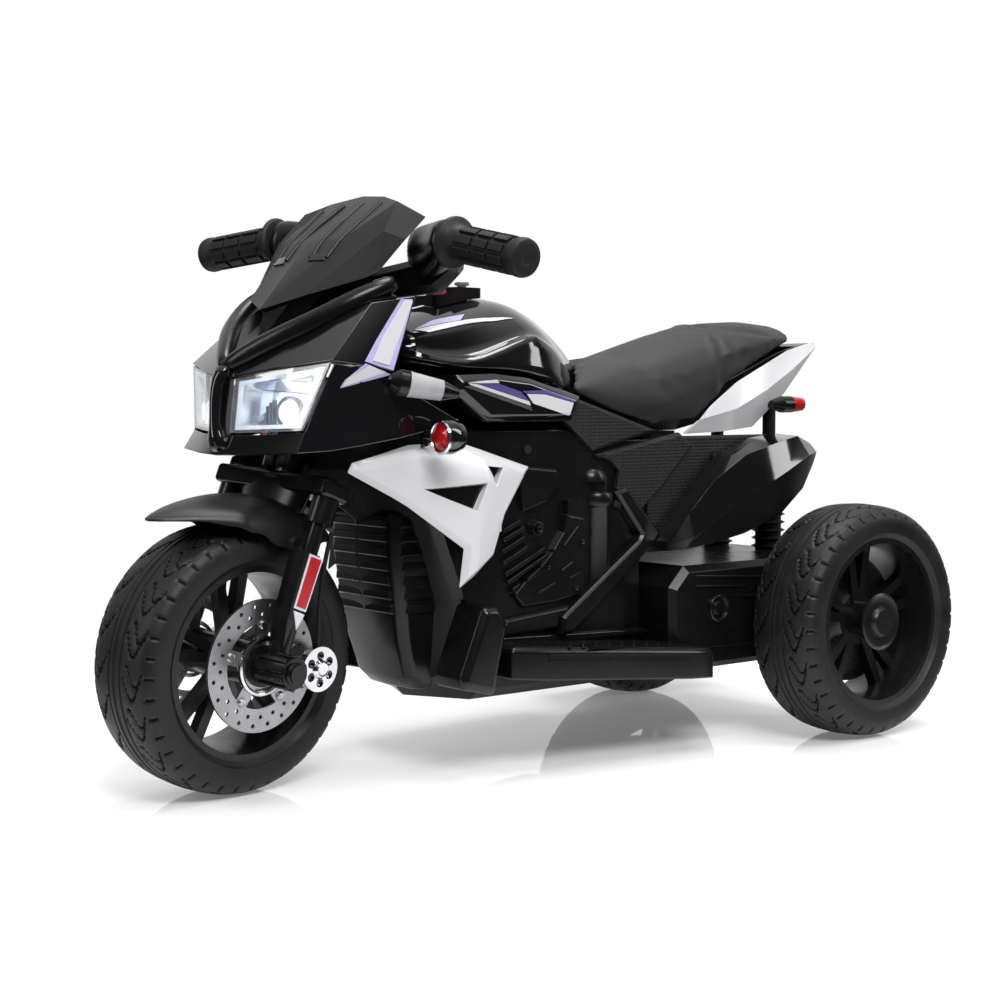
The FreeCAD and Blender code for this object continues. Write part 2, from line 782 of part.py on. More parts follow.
tyre = make_tyre()
front_rim = make_rim(-disc_offset - ring_length, disc_offset + ring_length, axle_radius + running_fit)
hub_reach = track / 2 - housing_half - clearance * 2
rear_rim = make_rim(-hub_reach, rim_width / 2 - rim_wall, rear_axle_radius + running_fit)
save_turned("front_tyre", placed(tyre, front_axle))
save_turned("front_rim", placed(front_rim, front_axle))
disc = make_disc()
save_turned("brake_discs", [placed(shape, front_axle) for shape in pair(disc)])
for side, name in ((1, "left"), (-1, "right")):
    hub = vec(rear_axle.x, side * track / 2, rear_axle.z)
    save("rear_tyre_" + name, placed(tyre, hub))
    save("rear_rim_" + name, placed(rear_rim if side > 0 else mirrored(rear_rim), hub))


# Fork, front axle, brake and mudguard
axle_half = clamp_inner + clamp_length
axle = rod(front_axle - lateral * axle_half, lateral, axle_radius, axle_half * 2)
nut = rod(front_axle + lateral * axle_half, lateral, nut_radius, nut_length)
save_turned("front_axle", axle.multiFuse(pair(nut)))

caliper_centre = front_axle + vec(-caliper_back, clamp_inner, -caliper_drop)
leg = rod(vec(0, fork_half, 0), upward, leg_radius, leg_top)
tube = rod(vec(0, fork_half, leg_top), upward, tube_radius, tube_top - leg_top)
sleeve = rod(vec(0, fork_half, tube_top), upward, sleeve_radius, crown_start - tube_top - running_fit)
fairing_sections = []
for height, back, front, side in leg_section_shares:
    reach = leg_radius * side
    outline = eight_sided(leg_radius * back, leg_radius * front, fork_half - reach, fork_half + reach)
    fairing_sections.append([vec(x, y, leg_top * height) for x, y in outline])
fairing = skin(fairing_sections)
leg = steered(leg.multiFuse([fairing, tube, sleeve]))
clamp = rod(front_axle + lateral * clamp_inner, lateral, clamp_radius, clamp_length)
arm_low = front_axle + vec(-caliper_back, clamp_inner, -caliper_drop - caliper_arm)
arm_high = front_axle + vec(0, clamp_inner + caliper_arm, -caliper_drop + caliper_arm)
arm = block(arm_low, arm_high)
mount = rod(caliper_centre, lateral, caliper_radius * caliper_mount_share, caliper_arm)
leg = leg.multiFuse([clamp, arm, mount])
leg = leg.cut(rod(front_axle, lateral, axle_radius, axle_half + overrun))
save_turned("fork_legs", pair(leg))

crown_reach = fork_half + sleeve_radius
crown = block(vec(-crown_depth / 2, -crown_reach, crown_start),
              vec(crown_depth / 2, crown_reach, crown_start + crown_height))
crown = steered(crown.makeFillet(crown_height / 4, crown.Edges))
column_top = axis_at(bar_height + stem_thick / 2) - front_axle
column_start = crown_start
column = rod(on_axis(column_start), steer_axis, column_radius, column_top.Length - column_start)
crown = crown.cut(column)
save_turned("fork_crown", crown)
save_turned("steering_column", column)

caliper = rod(caliper_centre + lateral * (caliper_arm + running_fit), lateral, caliper_radius, caliper_thick)
windows = []
for i in range(caliper_windows):
    angle = math.radians(i * 360 / caliper_windows)
    reach = caliper_radius * caliper_window_share
    spot = vec(math.sin(angle) * reach, caliper_arm + caliper_thick / 2, math.cos(angle) * reach)
    windows.append(rod(caliper_centre + spot, lateral, caliper_radius * caliper_hole_share, caliper_thick))
caliper = caliper.cut(Part.makeCompound(windows))
save_turned("calipers", pair(caliper))

hose_foot = caliper_centre + vec(0, caliper_arm + caliper_thick / 2, caliper_radius + running_fit)
hose_bend = hose_foot + vec(0, 0, hose_rise * hose_bend_share)
hose_top = hose_foot + vec(hose_rise * hose_lean_share, 0, hose_rise)
bend_mid = hose_bend + (hose_top - hose_bend) * hose_mid_share - vec(hose_rise * hose_bow_share, 0, 0)
hose_arc = Part.Arc(hose_bend, bend_mid, hose_top).toShape()
hose_path = Part.Wire([Part.makeLine(hose_foot, hose_bend), hose_arc])
hose = hose_path.makePipeShell([Part.Wire(Part.makeCircle(hose_radius, hose_foot, upward))], True, False)
save_turned("brake_hoses", pair(hose))


def make_guard():
    rim = guard_radius - guard_drop
    outer = [(rim, guard_half)]
    outer += [(guard_radius - guard_drop * guard_shoulder_share, guard_half * guard_edge_share)]
    outer += [(guard_radius, guard_half * guard_crown_share)]
    inner = [(r - guard_wall, max(y - guard_wall, 0)) for r, y in outer[1:]]
    half = outer + [(r, -y) for r, y in outer[::-1]]
    under = [(rim, -guard_half + guard_wall)] + [(r, -y) for r, y in inner] + inner[::-1]
    points = [vec(r, y, 0) for r, y in half + under + [(rim, guard_half - guard_wall)]]
    shell = flat_face(points).revolve(origin, lateral, -guard_sweep)
    shell.rotate(origin, lateral, -guard_front)
    tip = guard_radius * math.cos(math.radians(guard_front))
    beak = [vec(tip - beak_length * x, guard_half * y, 0) for x, y in beak_shares]
    beak += [vec(tip + overrun, guard_half * y, 0) for y in (beak_shares[-1][1], beak_shares[0][1])]
    corner = flat_face(beak).extrude(upward * guard_radius)
    shell = shell.cut(corner).cut(mirrored(corner))
    stay_top = (guard_radius - guard_drop) * guard_stay_share
    stay = block(vec(-stay_width / 2, guard_half - guard_wall, leg_top * guard_stay_low_share),
                 vec(stay_width / 2, fork_half - leg_radius, stay_top))
    stay = stay.makeFillet(guard_wall, stay.Edges[:4])
    stay.rotate(origin, lateral, -rake)
    guard = shell.multiFuse(pair(stay)).removeSplitter()
    return placed(guard, front_axle).cut(leg).cut(mirrored(leg))


save_turned("front_mudguard", make_guard())


# Handlebar and grips
bar_middle = vec(axis_at(bar_height).x - steer_setback, 0, bar_height)
bar_knee = bar_middle + vec(0, bar_rise_half, bar_rise)
bar_end = bar_middle + vec(bar_sweep, bar_end_half, bar_rise - bar_end_drop)


def tube_between(start, end, radius):
    return rod(start, end - start, radius, (end - start).Length)


def ball(place, radius):
    return Part.makeSphere(radius, place)


arm_sections = []
for out, back, front, rise, tall in arm_section_shares:
    middle = bar_middle + vec(0, bar_rise_half * out, bar_rise * rise)
    reach = arm_height / 2 * tall
    outline = eight_sided(middle.x + arm_depth / 2 * back, middle.x + arm_depth / 2 * front,
                          middle.z - reach, middle.z + reach)
    arm_sections.append([vec(x, middle.y, z) for x, z in outline])
half_bar = [skin(arm_sections), ball(bar_knee, arm_radius), tube_between(bar_knee, bar_end, bar_radius)]
stem = block(vec(bar_middle.x - bar_radius * 2, -stem_half, bar_height - stem_thick / 2),
             vec(axis_at(bar_height).x + column_radius * 2, stem_half, bar_height + stem_thick / 2))
stem = stem.makeFillet(stem_thick / 4, stem.Edges)
bar = stem.multiFuse([shape for piece in half_bar for shape in pair(piece)])
save_turned("handlebar", bar.cut(column))

grip_line = bar_end - bar_knee
grip_way = grip_line * (1 / grip_line.Length)
grip_start = bar_knee + grip_line * grip_start_share
grip_length = (bar_end - grip_start).Length + grip_reach
bore_length = (bar_end - grip_start).Length + clearance
grip_profile = [(bar_radius + running_fit, 0), (grip_flange_radius, 0)]
grip_profile += [(grip_flange_radius, grip_flange_thick)]
rib_pitch = (grip_length - grip_flange_thick - grip_end_length) / grip_ribs
for i in range(grip_ribs):
    base = grip_flange_thick + i * rib_pitch
    grip_profile += [(grip_radius, base), (grip_radius + grip_rib, base + rib_pitch / 2)]
    grip_profile += [(grip_radius, base + rib_pitch * rib_end_share)]
grip_cap = grip_length - grip_end_length
grip_profile += [(grip_radius, grip_cap), (grip_end_radius, grip_cap)]
grip_profile += [(grip_end_radius, grip_length - grip_rib * 2), (grip_radius, grip_length), (0, grip_length)]
grip_profile += [(0, bore_length), (bar_radius + running_fit, bore_length)]
grip = lathe(grip_profile, grip_start, grip_way)
save_turned("grips", pair(grip))

# Body shells, split along the middle
steer_span = (bar_height - stem_thick / 2 - wheel_radius) / math.cos(math.radians(rake))
head_length = (steer_span - head_start) * head_share
head = rod(on_axis(head_start), steer_axis, head_radius, head_length)
bore_start = on_axis(head_start - overrun)
head_bore = rod(bore_start, steer_axis, column_radius + running_fit, head_length + overrun * 2)

body_mid = side_points(body_box, body_mid_shares)
body_side = side_points(body_box, body_side_shares)
body_outer = skin([at_y(body_mid, 0), at_y(body_side, body_half - body_edge),
                   at_y(inset(body_side, body_edge), body_half)])
body_inner = skin([at_y(inset(body_mid, wall), -overrun), at_y(inset(body_mid, wall), 0),
                   at_y(inset(body_side, wall), body_half - body_edge - wall)])
body_shell = body_outer.cut(body_inner).cut(head)
socket_z = body_bottom + body_height * socket_height_share
jack_start = vec(socket_x, -body_half + socket_depth, socket_z)
jack_hole = rod(jack_start, -lateral, socket_radius, socket_depth + overrun)
save("body_shell_left", body_shell)
save("body_shell_right", mirrored(body_shell).cut(jack_hole))

# Fuel tank cover with dash
tank_rings = [both_halves(ring_points(tank_box, shares)) for shares in tank_ring_shares]
tank_stations = [tank_rear + tank_length * share for share in tank_station_shares]
tank_outer = skin([at_x(ring, x) for ring, x in zip(tank_rings, tank_stations)])
tank_room = skin([at_x(inset(ring, -seat_gap), x) for ring, x in zip(tank_rings, tank_stations)]
                 + [at_x(inset(tank_rings[-1], -seat_gap), tank_stations[-1] - seat_gap)])


def opened(ring):
    shrunk = inset(ring, wall)
    floor = min(z for _, z in ring) - overrun
    return [(shrunk[0][0], floor)] + shrunk[1:-1] + [(shrunk[-1][0], floor)]


tank_inner_stations = [tank_stations[0] - wall] + tank_stations[1:-2] + [tank_stations[-2] + wall]
tank_inner = skin([at_x(opened(ring), x) for ring, x in zip(tank_rings[:-1], tank_inner_stations)])
dash_low = dash_top - dash_thick
dash_rear = dash_front - dash_length
dash_block = block(vec(dash_rear, -dash_half, dash_low), vec(dash_front, dash_half, dash_top))
dash_corners = [e for e in dash_block.Edges if e.BoundBox.ZLength > dash_thick / 2]
dash_plate = dash_block.makeFillet(dash_edge, dash_corners)
dash_cut = block(vec(dash_front - dash_step_length, -dash_half - overrun, dash_top - dash_step),
                 vec(dash_front + overrun, dash_half + overrun, dash_top + overrun))
dash_plate = dash_plate.cut(dash_cut).cut(tank_room)
tank_cover = tank_outer.cut(tank_inner)
start_spot = vec(dash_front - dash_step_length / 2, start_side, dash_top - dash_step)
horn_spot = vec(dash_front - horn_place, horn_side, dash_top)
rocker_spot = vec(dash_front - rocker_place, -horn_side, dash_top - rocker_pivot)


def make_button(spot, radius):
    rest = spot + upward * (button_travel + clearance)
    cap = rod(rest, upward, radius, button_height)
    top_edge = [e for e in cap.Edges if e.BoundBox.ZMin > rest.z + button_height / 2]
    cap = cap.makeFillet(button_height / 3, top_edge)
    foot = spot - upward * button_depth
    stem = rod(foot, upward, button_stem, button_depth + button_travel + button_height / 2)
    stop = rod(foot, upward, button_stem + button_flange, button_flange)
    return cap.multiFuse([stem, stop])


def button_bore(spot):
    return rod(spot - upward * button_depth, upward, button_stem + clearance, button_depth + overrun)


def rocker_block(grow, low, high):
    reach = vec(rocker_length / 2 + grow * 2, rocker_width / 2 + grow, 0)
    return block(rocker_spot - reach - upward * low, rocker_spot + reach + upward * high)


button_bores = Part.makeCompound([button_bore(start_spot), button_bore(horn_spot)])
rocker = rocker_block(0, rocker_pivot * 2, rocker_pivot * 2)
rocker_top = [e for e in rocker.Edges if e.BoundBox.ZMin > rocker.BoundBox.ZMax - running_fit]
rocker = rocker.makeFillet(rocker_pivot / 2, rocker_top)
pivot_half = rocker_width / 2 + rocker_pivot * 2
rocker = rocker.fuse(rod(rocker_spot - lateral * pivot_half, lateral, rocker_pivot, pivot_half * 2))
rocker_room = rocker_block(clearance, rocker_pivot * 3, overrun)
pivot_reach = pivot_half + clearance
pivot_room = rod(rocker_spot - lateral * pivot_reach, lateral, rocker_pivot + running_fit, pivot_reach * 2)
save("tank_cover", tank_cover.cut(button_bores).cut(rocker_room).cut(pivot_room))
save("dash_panel", dash_plate.cut(button_bores).cut(rocker_room).cut(pivot_room))
save("start_button", make_button(start_spot, start_radius))
save("horn_button", make_button(horn_spot, horn_radius))
save("direction_switch", rocker)

strake_levels = [(strake_inner, 0), (strake_half - strake_edge, 0), (strake_half, strake_edge)]
strake = pillow(side_points(strake_box, strake_shares), strake_levels)
save("tank_strakes", pair(strake))

# Seat and tail
frame_rings = [ring_points(frame_box, shares) for shares in frame_ring_shares]
frame_stations = [frame_rear + frame_length * share for share in frame_station_shares]


def frame_ring(ring, x, grow):
    low, high = ring
    points = [(low[0] + grow, low[1] - grow), (high[0] + grow, high[1] + grow)]
    return at_x(points + [(-y, z) for y, z in points[::-1]], x)


frame_outer = skin([frame_ring(ring, x, 0) for ring, x in zip(frame_rings, frame_stations)])
frame_room = skin([frame_ring(ring, x, seat_gap) for ring, x in zip(frame_rings, frame_stations)])


def tray_ring(ring, x):
    low, high = ring
    points = [(low[0] - wall, low[1] + wall), (high[0] - wall, high[1] + overrun)]
    return at_x(points + [(-y, z) for y, z in points[::-1]], x)


tray_stations = [frame_stations[0] - wall] + frame_stations[1:-2] + [frame_stations[-2] + wall]
frame_tray = skin([tray_ring(ring, x) for ring, x in zip(frame_rings[:-1], tray_stations)])
save("seat_frame", frame_outer.cut(frame_tray))


def seat_section(shares, x):
    low, edge, crown = ring_points(seat_box, shares)
    a = vec(x, -low[0], low[1])
    b = vec(x, low[0], low[1])
    c = vec(x, edge[0], edge[1])
    d = vec(x, -edge[0], edge[1])
    top = Part.Arc(c, vec(x, 0, crown[1]), d).toShape()
    return Part.Wire([Part.makeLine(a, b), Part.makeLine(b, c), top, Part.makeLine(d, a)])


seat_stations = [seat_rear + seat_length * share for share in seat_station_shares]
seat_wires = [seat_section(shares, x) for shares, x in zip(seat_ring_shares, seat_stations)]
seat = Part.makeLoft(seat_wires, True, True)
seat = seat.cut(tank_room).cut(frame_room)
seat_solids = sorted(seat.Solids, key=lambda solid: solid.Volume)
save("seat", seat_solids[-1])

tail_rows = (tail_low_shares, tail_mid_shares, tail_top_shares)
tail = bent_sheet([space_points(tail_box, shares) for shares in tail_rows], sheet)
tail = tail.cut(frame_room).cut(seat_solids[-1])
tail_solids = sorted(tail.Solids, key=lambda solid: solid.Volume)
save("tail_cowls", pair(tail_solids[-1]))

# Front cowl, lamps and windscreen
chin_rows = (chin_low_shares, chin_top_shares)
chin = bent_sheet([both_sides(space_points(cowl_box, shares)) for shares in chin_rows], -sheet)
brow_rows = (brow_low_shares, brow_top_shares)
brow = bent_sheet([both_sides(space_points(cowl_box, shares)) for shares in brow_rows], -sheet)
beam_rows = (beam_outer_shares, beam_crest_shares, beam_inner_shares)
beam_rows += (beam_hood_shares, beam_neck_shares)
beam = bent_sheet([both_sides(space_points(cowl_box, shares)) for shares in beam_rows], -sheet)
nose = skin([space_points(cowl_box, nose_low_shares), space_points(cowl_box, nose_top_shares)])
lens_rows = (lens_low_shares, lens_top_shares)
lens = bent_sheet([space_points(cowl_box, shares) for shares in lens_rows], -lens_thick)
screen_rows = (screen1_shares, screen2_shares, screen3_shares)
screen = bent_sheet([both_sides(space_points(screen_box, shares)) for shares in screen_rows], -sheet)
cowl_arm = rod(axis_at(cowl_arm_height), lateral, cowl_arm_radius, cowl_half).cut(chin)
cowl_arm = sorted(cowl_arm.Solids, key=lambda solid: solid.Volume)[-1]
save("head_tube", head.multiFuse(pair(cowl_arm)).cut(head_bore))
save("headlight_chin", chin)
save("front_cowl", brow.cut(chin))
save("hood_beam", [beam.cut(brow), nose.cut(brow).cut(chin)])
slot_place = space_points(screen_box, slot_place_shares)[0]
slot_ends = []
for y in (-slot_length / 2, slot_length / 2):
    slot_ends.append(rod(vec(-overrun, y, 0), forward, slot_height / 2, overrun * 2))
slot_reach = vec(overrun, slot_length / 2, slot_height / 2)
slot = block(-slot_reach, slot_reach)
slot = slot.multiFuse(slot_ends)
slot.rotate(origin, lateral, -slot_tilt)
slot = placed(slot, slot_place)
save("windscreen", screen.cut(beam).cut(slot).cut(mirrored(slot)))
save("headlight_lenses", pair(lens.cut(chin).cut(brow).cut(nose)))

lens_low = space_points(cowl_box, lens_low_shares)
lens_top = space_points(cowl_box, lens_top_shares)
lens_ring = [lens_low[0], lens_low[2], lens_top[2], lens_top[0]]
lens_middle = (lens_ring[0] + lens_ring[1] + lens_ring[2] + lens_ring[3]) * (1 / 4)
lens_facing = (lens_ring[1] - lens_ring[0]).cross(lens_ring[3] - lens_ring[0])
lens_facing.normalize()


def tray_outline(depth, share):
    shift = lens_facing * -depth
    return [lens_middle + (p - lens_middle) * share + shift for p in lens_ring]


tray_start = lens_thick
mouth_inner_share = reflector_mouth_share * reflector_thin_share
taper_inner_share = reflector_taper_share * reflector_thin_share
reflector_outer = skin([tray_outline(tray_start, reflector_mouth_share),
                        tray_outline(reflector_depth, reflector_taper_share)])
reflector_inner = skin([tray_outline(tray_start - overrun, mouth_inner_share),
                        tray_outline(reflector_depth - reflector_wall, taper_inner_share)])
reflector = reflector_outer.cut(reflector_inner).cut(lens).cut(chin).cut(brow).cut(nose)
reflector = sorted(reflector.Solids, key=lambda solid: solid.Volume)[-1]
bulb_start = lens_middle - lens_facing * (reflector_depth - reflector_wall - clearance * 2)
bulb = rod(bulb_start, lens_facing, lamp_radius, lamp_length)
bulb = bulb.makeFillet(lamp_length / 4, [bulb.Edges[0]])
save("headlight_reflectors", pair(reflector))
save("headlight_lamps", pair(bulb))


def make_blinker(start, way, radius, base, lens_length, tip):
    core = radius - blinker_wall * 2
    neck = radius * blinker_neck_share
    lens_end = base + lens_length
    body = [(0, 0), (radius * blinker_foot_share, 0), (radius, base / 2), (radius, base)]
    body += [(core, base), (core, lens_end), (neck, lens_end)]
    body += [(radius * blinker_end_share, lens_end + tip), (0, lens_end + tip)]
    cover = [(core + running_fit, base + running_fit), (radius, base + running_fit)]
    cover += [(neck, lens_end - running_fit), (core + running_fit, lens_end - running_fit)]
    return lathe(body, start, way), lathe(cover, start, way)


blinker_foot = space_points(cowl_box, blinker_place_shares)[0]
blinker_way = vec(*blinker_way_shares)
housing, cover = make_blinker(blinker_foot, blinker_way, blinker_radius,
                              blinker_base, blinker_lens, blinker_tip)
front_housing = housing.cut(chin).cut(brow)
front_housing = sorted(front_housing.Solids, key=lambda solid: solid.Volume)[-1]
save("front_indicator_lenses", pair(cover))

lamp_spot = vec(side_lamp_x, side_lamp_out, side_lamp_z)
lamp_seat = side_lamp_depth - side_lamp_lens_depth
lamp_body = [(0, 0), (side_lamp_radius * blinker_neck_share, 0), (side_lamp_radius, side_lamp_depth / 2)]
lamp_body += [(side_lamp_radius, side_lamp_depth), (side_lamp_lens_radius + running_fit, side_lamp_depth)]
lamp_body += [(side_lamp_lens_radius + running_fit, lamp_seat), (0, lamp_seat)]
lamp_shell = lathe(lamp_body, lamp_spot, forward)
lamp_cover = [(0, lamp_seat + running_fit), (side_lamp_lens_radius, lamp_seat + running_fit)]
lamp_cover += [(side_lamp_lens_radius, side_lamp_depth)]
lamp_cover += [(side_lamp_lens_radius / 2, side_lamp_depth + side_lamp_lens_depth / 2)]
lamp_cover += [(0, side_lamp_depth + side_lamp_lens_depth * lens_dome_share)]
save("side_lamp_lenses", pair(lathe(lamp_cover, lamp_spot, forward)))

# Side panels, covers and braces
skin_start = body_half + clearance / 2


def cladding(box, shares, thickness, edge):
    face = body_half + thickness
    return pillow(side_points(box, shares), [(skin_start, 0), (face - edge, 0), (face, edge)])


panel_outline = side_points(panel_box, panel_shares)
panel_face = panel_start + panel_thick
panel_levels = [(panel_start, panel_undercut), (panel_face - panel_edge, 0), (panel_face, panel_edge)]
panel = pillow(panel_outline, panel_levels)
boss_x = panel_rear + panel_length * boss_place_share
boss_z = panel_bottom + panel_height * boss_height_share
boss = block(vec(boss_x, skin_start, boss_z),
             vec(boss_x + boss_length, panel_start + panel_edge, boss_z + boss_height))
window_levels = [(panel_start - overrun, 0), (panel_face + overrun, 0)]
window = pillow(side_points(panel_box, window_shares), window_levels)
recess_floor = panel_face - recess_depth
recess = pillow(side_points(panel_box, recess_shares), [(recess_floor, 0), (panel_face + overrun, 0)])
panel = panel.cut(window).cut(recess).fuse(boss)
save("side_panels", pair(panel))
stalk_foot = vec(side_lamp_x + side_lamp_depth / 2, panel_start + panel_thick / 2, side_lamp_z)
stalk = rod(stalk_foot, lateral, stalk_radius, side_lamp_out - stalk_foot.y)
stalk_post = rod(stalk_foot + upward * stalk_radius, -upward, stalk_radius, stalk_drop)
stalk = stalk.multiFuse([stalk_post, lamp_shell]).cut(panel)
stalk = sorted(stalk.Solids, key=lambda solid: solid.Volume)[-1]
save("side_lamp_housings", pair(stalk))
cover_plate = cladding(cover_box, cover_shares, cover_thick, wall)
upper_cover = cladding(cover_box, upper_cover_shares, cover_thick, wall)
brace = cladding(brace_box, brace_shares, brace_thick, wall)
rear_cover = cladding(cover_box, rear_cover_shares, rear_cover_thick, wall / 2)
rear_cover = rear_cover.cut(cover_plate).cut(upper_cover).cut(brace)
rear_cover = sorted(rear_cover.Solids, key=lambda solid: solid.Volume)[-1]
save("side_covers", pair(cover_plate) + pair(upper_cover) + pair(rear_cover))
save("frame_braces", pair(brace.cut(cover_plate)))
shield = cladding(shield_box, shield_shares, shield_thick, panel_edge)
save("leg_shields", pair(shield))

# Footboards and accelerator pedal
board_plan = [(board_rear + board_length * x, board_half * y) for x, y in board_shares]
notch_x = housing_rear + housing_length + clearance * 2
board_plan = board_plan[:-2] + [(notch_x, y) for _, y in board_plan[-2:]]


def board_level(points, base):
    return [vec(x, y, base + board_slope * (x - board_rear) / board_length) for x, y in points]


board_top = board_bottom + board_height - board_slope
board_low = board_bottom
board_outer = skin([board_level(board_plan, board_low), board_level(board_plan, board_top - board_lip),
                    board_level(inset(board_plan, board_lip), board_top)])
board_inner = skin([board_level(inset(board_plan, wall), board_low - overrun),
                    board_level(inset(board_plan, wall + board_lip), board_top - wall)])
board = board_outer.cut(board_inner)
save("footboard_left", board)
heel_rise = board_slope * (pedal_heel - board_rear) / board_length
pedal_foot = vec(pedal_heel, -pedal_out, board_top + heel_rise + pedal_barrel + clearance)
pedal_plate = block(vec(0, -pedal_half, -pedal_thick / 2), vec(pedal_length, pedal_half, pedal_thick / 2))
pedal_plate = pedal_plate.makeFillet(pedal_thick / 3, pedal_plate.Edges)
pedal_tube = rod(vec(0, -pedal_half, 0), lateral, pedal_barrel, pedal_half * 2)
pin_half = pedal_half + clearance + lug_width
pedal_shaft = rod(vec(0, -pin_half, 0), lateral, pedal_pin, pin_half * 2)
pedal = pedal_plate.multiFuse([pedal_tube, pedal_shaft])
pedal.rotate(origin, lateral, -pedal_lift)
save("accelerator_pedal", placed(pedal, pedal_foot))
lug = rod(pedal_foot + lateral * (pedal_half + clearance), lateral, pedal_barrel, lug_width)
lug_base = block(pedal_foot + vec(-pedal_barrel, pedal_half + clearance, -pedal_barrel - wall),
                 pedal_foot + vec(pedal_barrel, pin_half, 0))
lugs = lug.fuse(lug_base)
other = lugs.copy()
other.translate(lateral * -(pedal_half * 2 + clearance * 2 + lug_width))
board_right = mirrored(board).multiFuse([lugs, other])
pin_start = pedal_foot - lateral * (pin_half + overrun)
pin_room = rod(pin_start, lateral, pedal_pin + running_fit, pin_half * 2 + overrun * 2)
save("footboard_right", board_right.cut(pin_room))

# Mufflers
muffler_rings = [ring_points(muffler_box, shares) for shares in muffler_ring_shares]
muffler_stations = [muffler_rear + muffler_length * share for share in muffler_station_shares]
muffler = skin([at_x(ring, x) for ring, x in zip(muffler_rings, muffler_stations)])
core_rings = [inset(ring, wall) for ring in muffler_rings[1:-1]]
muffler_core = skin([at_x(ring, x) for ring, x in zip(core_rings, muffler_stations[1:-1])])
muffler = muffler.cut(muffler_core)
lug_x = muffler_rear + muffler_length * muffler_lug_shares[0]
lug_z = muffler_bottom + muffler_height * muffler_lug_shares[1]
lug_start = body_half + rear_cover_thick + clearance / 2
lug_length = muffler_rings[1][0][0] + wall / 2 - lug_start
muffler_lug = rod(vec(lug_x, lug_start, lug_z), lateral, muffler_lug_radius, lug_length)
save("mufflers", pair(muffler.fuse(muffler_lug).cut(brace).cut(cover_plate)))

# Rear axle housing, axle and drive
housing_plan = side_points(housing_box, housing_shares)
housing_flank = housing_half - housing_edge
housing_levels = [(-housing_half, housing_edge), (-housing_flank, 0), (housing_flank, 0)]
housing_outer = pillow(housing_plan, housing_levels + [(housing_half, housing_edge)])
room_plan = inset(housing_plan, wall)
room_floor = housing_bottom - overrun
room_plan = [(x, room_floor if z < housing_bottom + wall * 2 else z) for x, z in room_plan]
room_half = housing_half - housing_edge - wall
housing_room = skin([at_y(room_plan, -room_half), at_y(room_plan, room_half)])
hole_start = rear_axle - lateral * (housing_half + overrun)
axle_hole = rod(hole_start, lateral, rear_axle_radius, housing_half * 2 + overrun * 2)
drive_sleeve = rear_axle_radius + sleeve_wall
sleeve_hole = rod(hole_start, lateral, drive_sleeve + clearance, housing_half)
foot_low = housing_bottom + housing_edge
lid_rear = min(p[0] for p in room_plan) + clearance
lid_front = max(p[0] for p in room_plan) - clearance
lid = block(vec(lid_rear, clearance - room_half, foot_low - lid_thick),
            vec(lid_front, room_half - clearance, foot_low))
save("axle_housing", housing_outer.cut(housing_room).cut(axle_hole).cut(sleeve_hole))
save("axle_housing_lid", lid)

rear_half = track / 2 + rim_width / 2
rear_rod = rod(rear_axle - lateral * rear_half, lateral, rear_axle_radius, rear_half * 2)
nut_out = track / 2 + rim_width / 2 - rim_wall + clearance
rear_nut = rod(rear_axle + lateral * nut_out, lateral, rear_nut_radius, nut_length)
save("rear_axle", rear_rod.multiFuse(pair(rear_nut)))


def involute(base, radius):
    roll = math.sqrt(max((radius / base) ** 2 - 1, 0))
    return roll - math.atan(roll)


def make_gear(teeth, turn):
    pitch = gear_module * teeth / 2
    base = pitch * math.cos(math.radians(pressure_angle))
    root = pitch - gear_module * gear_root_share
    tip = pitch + gear_module * gear_tip_share
    half = math.pi / teeth / 2 - backlash / pitch / 4 + involute(base, pitch)
    points = []
    for tooth in range(teeth):
        middle = math.pi * 2 * tooth / teeth + turn
        flank = []
        for share in flank_shares:
            radius = max(base, root) + (tip - max(base, root)) * share
            flank.append((radius, half - involute(base, radius)))
        foot = [(root, flank[0][1])] if root < base else []
        side = foot + flank
        line = [(r, middle - a) for r, a in side] + [(r, middle + a) for r, a in side[::-1]]
        points += [vec(math.cos(a) * r, 0, math.sin(a) * r) for r, a in line]
    return flat_face(points).extrude(lateral * gear_width)


centre_distance = gear_module * (gear_teeth + pinion_teeth) / 2
gear_side = gear_inset + gear_width - room_half
gear_start = rear_axle + lateral * (gear_side - gear_width)
gear = placed(make_gear(gear_teeth, 0), gear_start)
hub_face = hub_reach - track / 2
tube_start = rear_axle + lateral * hub_face
gear_tube = rod(tube_start, lateral, drive_sleeve, gear_side - hub_face)
gear_bore_start = tube_start - lateral * overrun
gear_bore = rod(gear_bore_start, lateral, rear_axle_radius + running_fit, gear_side - hub_face + overrun * 2)
save("drive_gear", gear.fuse(gear_tube).cut(gear_bore))
motor_centre = rear_axle + forward * centre_distance
pinion_start = vec(motor_centre.x, gear_start.y, motor_centre.z)
pinion = placed(make_gear(pinion_teeth, math.pi / pinion_teeth), pinion_start)
shaft_length = gear_width + case_room + case_wall + overrun
save("motor_pinion", pinion.fuse(rod(pinion_start, lateral, motor_shaft, shaft_length)))

gear_room = gear_module * gear_teeth / 2 + gear_module * 2
pinion_room = gear_module * pinion_teeth / 2 + gear_module * 2 + case_room
cavity_start = gear_start.y - case_room
cavity_length = gear_width + case_room * 2
cavity = [rod(vec(rear_axle.x, cavity_start, rear_axle.z), lateral, gear_room, cavity_length)]
cavity += [rod(vec(motor_centre.x, cavity_start, motor_centre.z), lateral, pinion_room, cavity_length)]
cavity = cavity[0].fuse(cavity[1])
case_start = cavity_start - case_wall
case_length = cavity_length + case_wall * 2
case = [rod(vec(rear_axle.x, case_start, rear_axle.z), lateral, gear_room + case_wall, case_length)]
case += [rod(vec(motor_centre.x, case_start, motor_centre.z), lateral, pinion_room + case_wall, case_length)]
foot = block(vec(rear_axle.x - gear_room, case_start, foot_low + clearance / 2),
             vec(motor_centre.x, case_start + case_length, rear_axle.z))
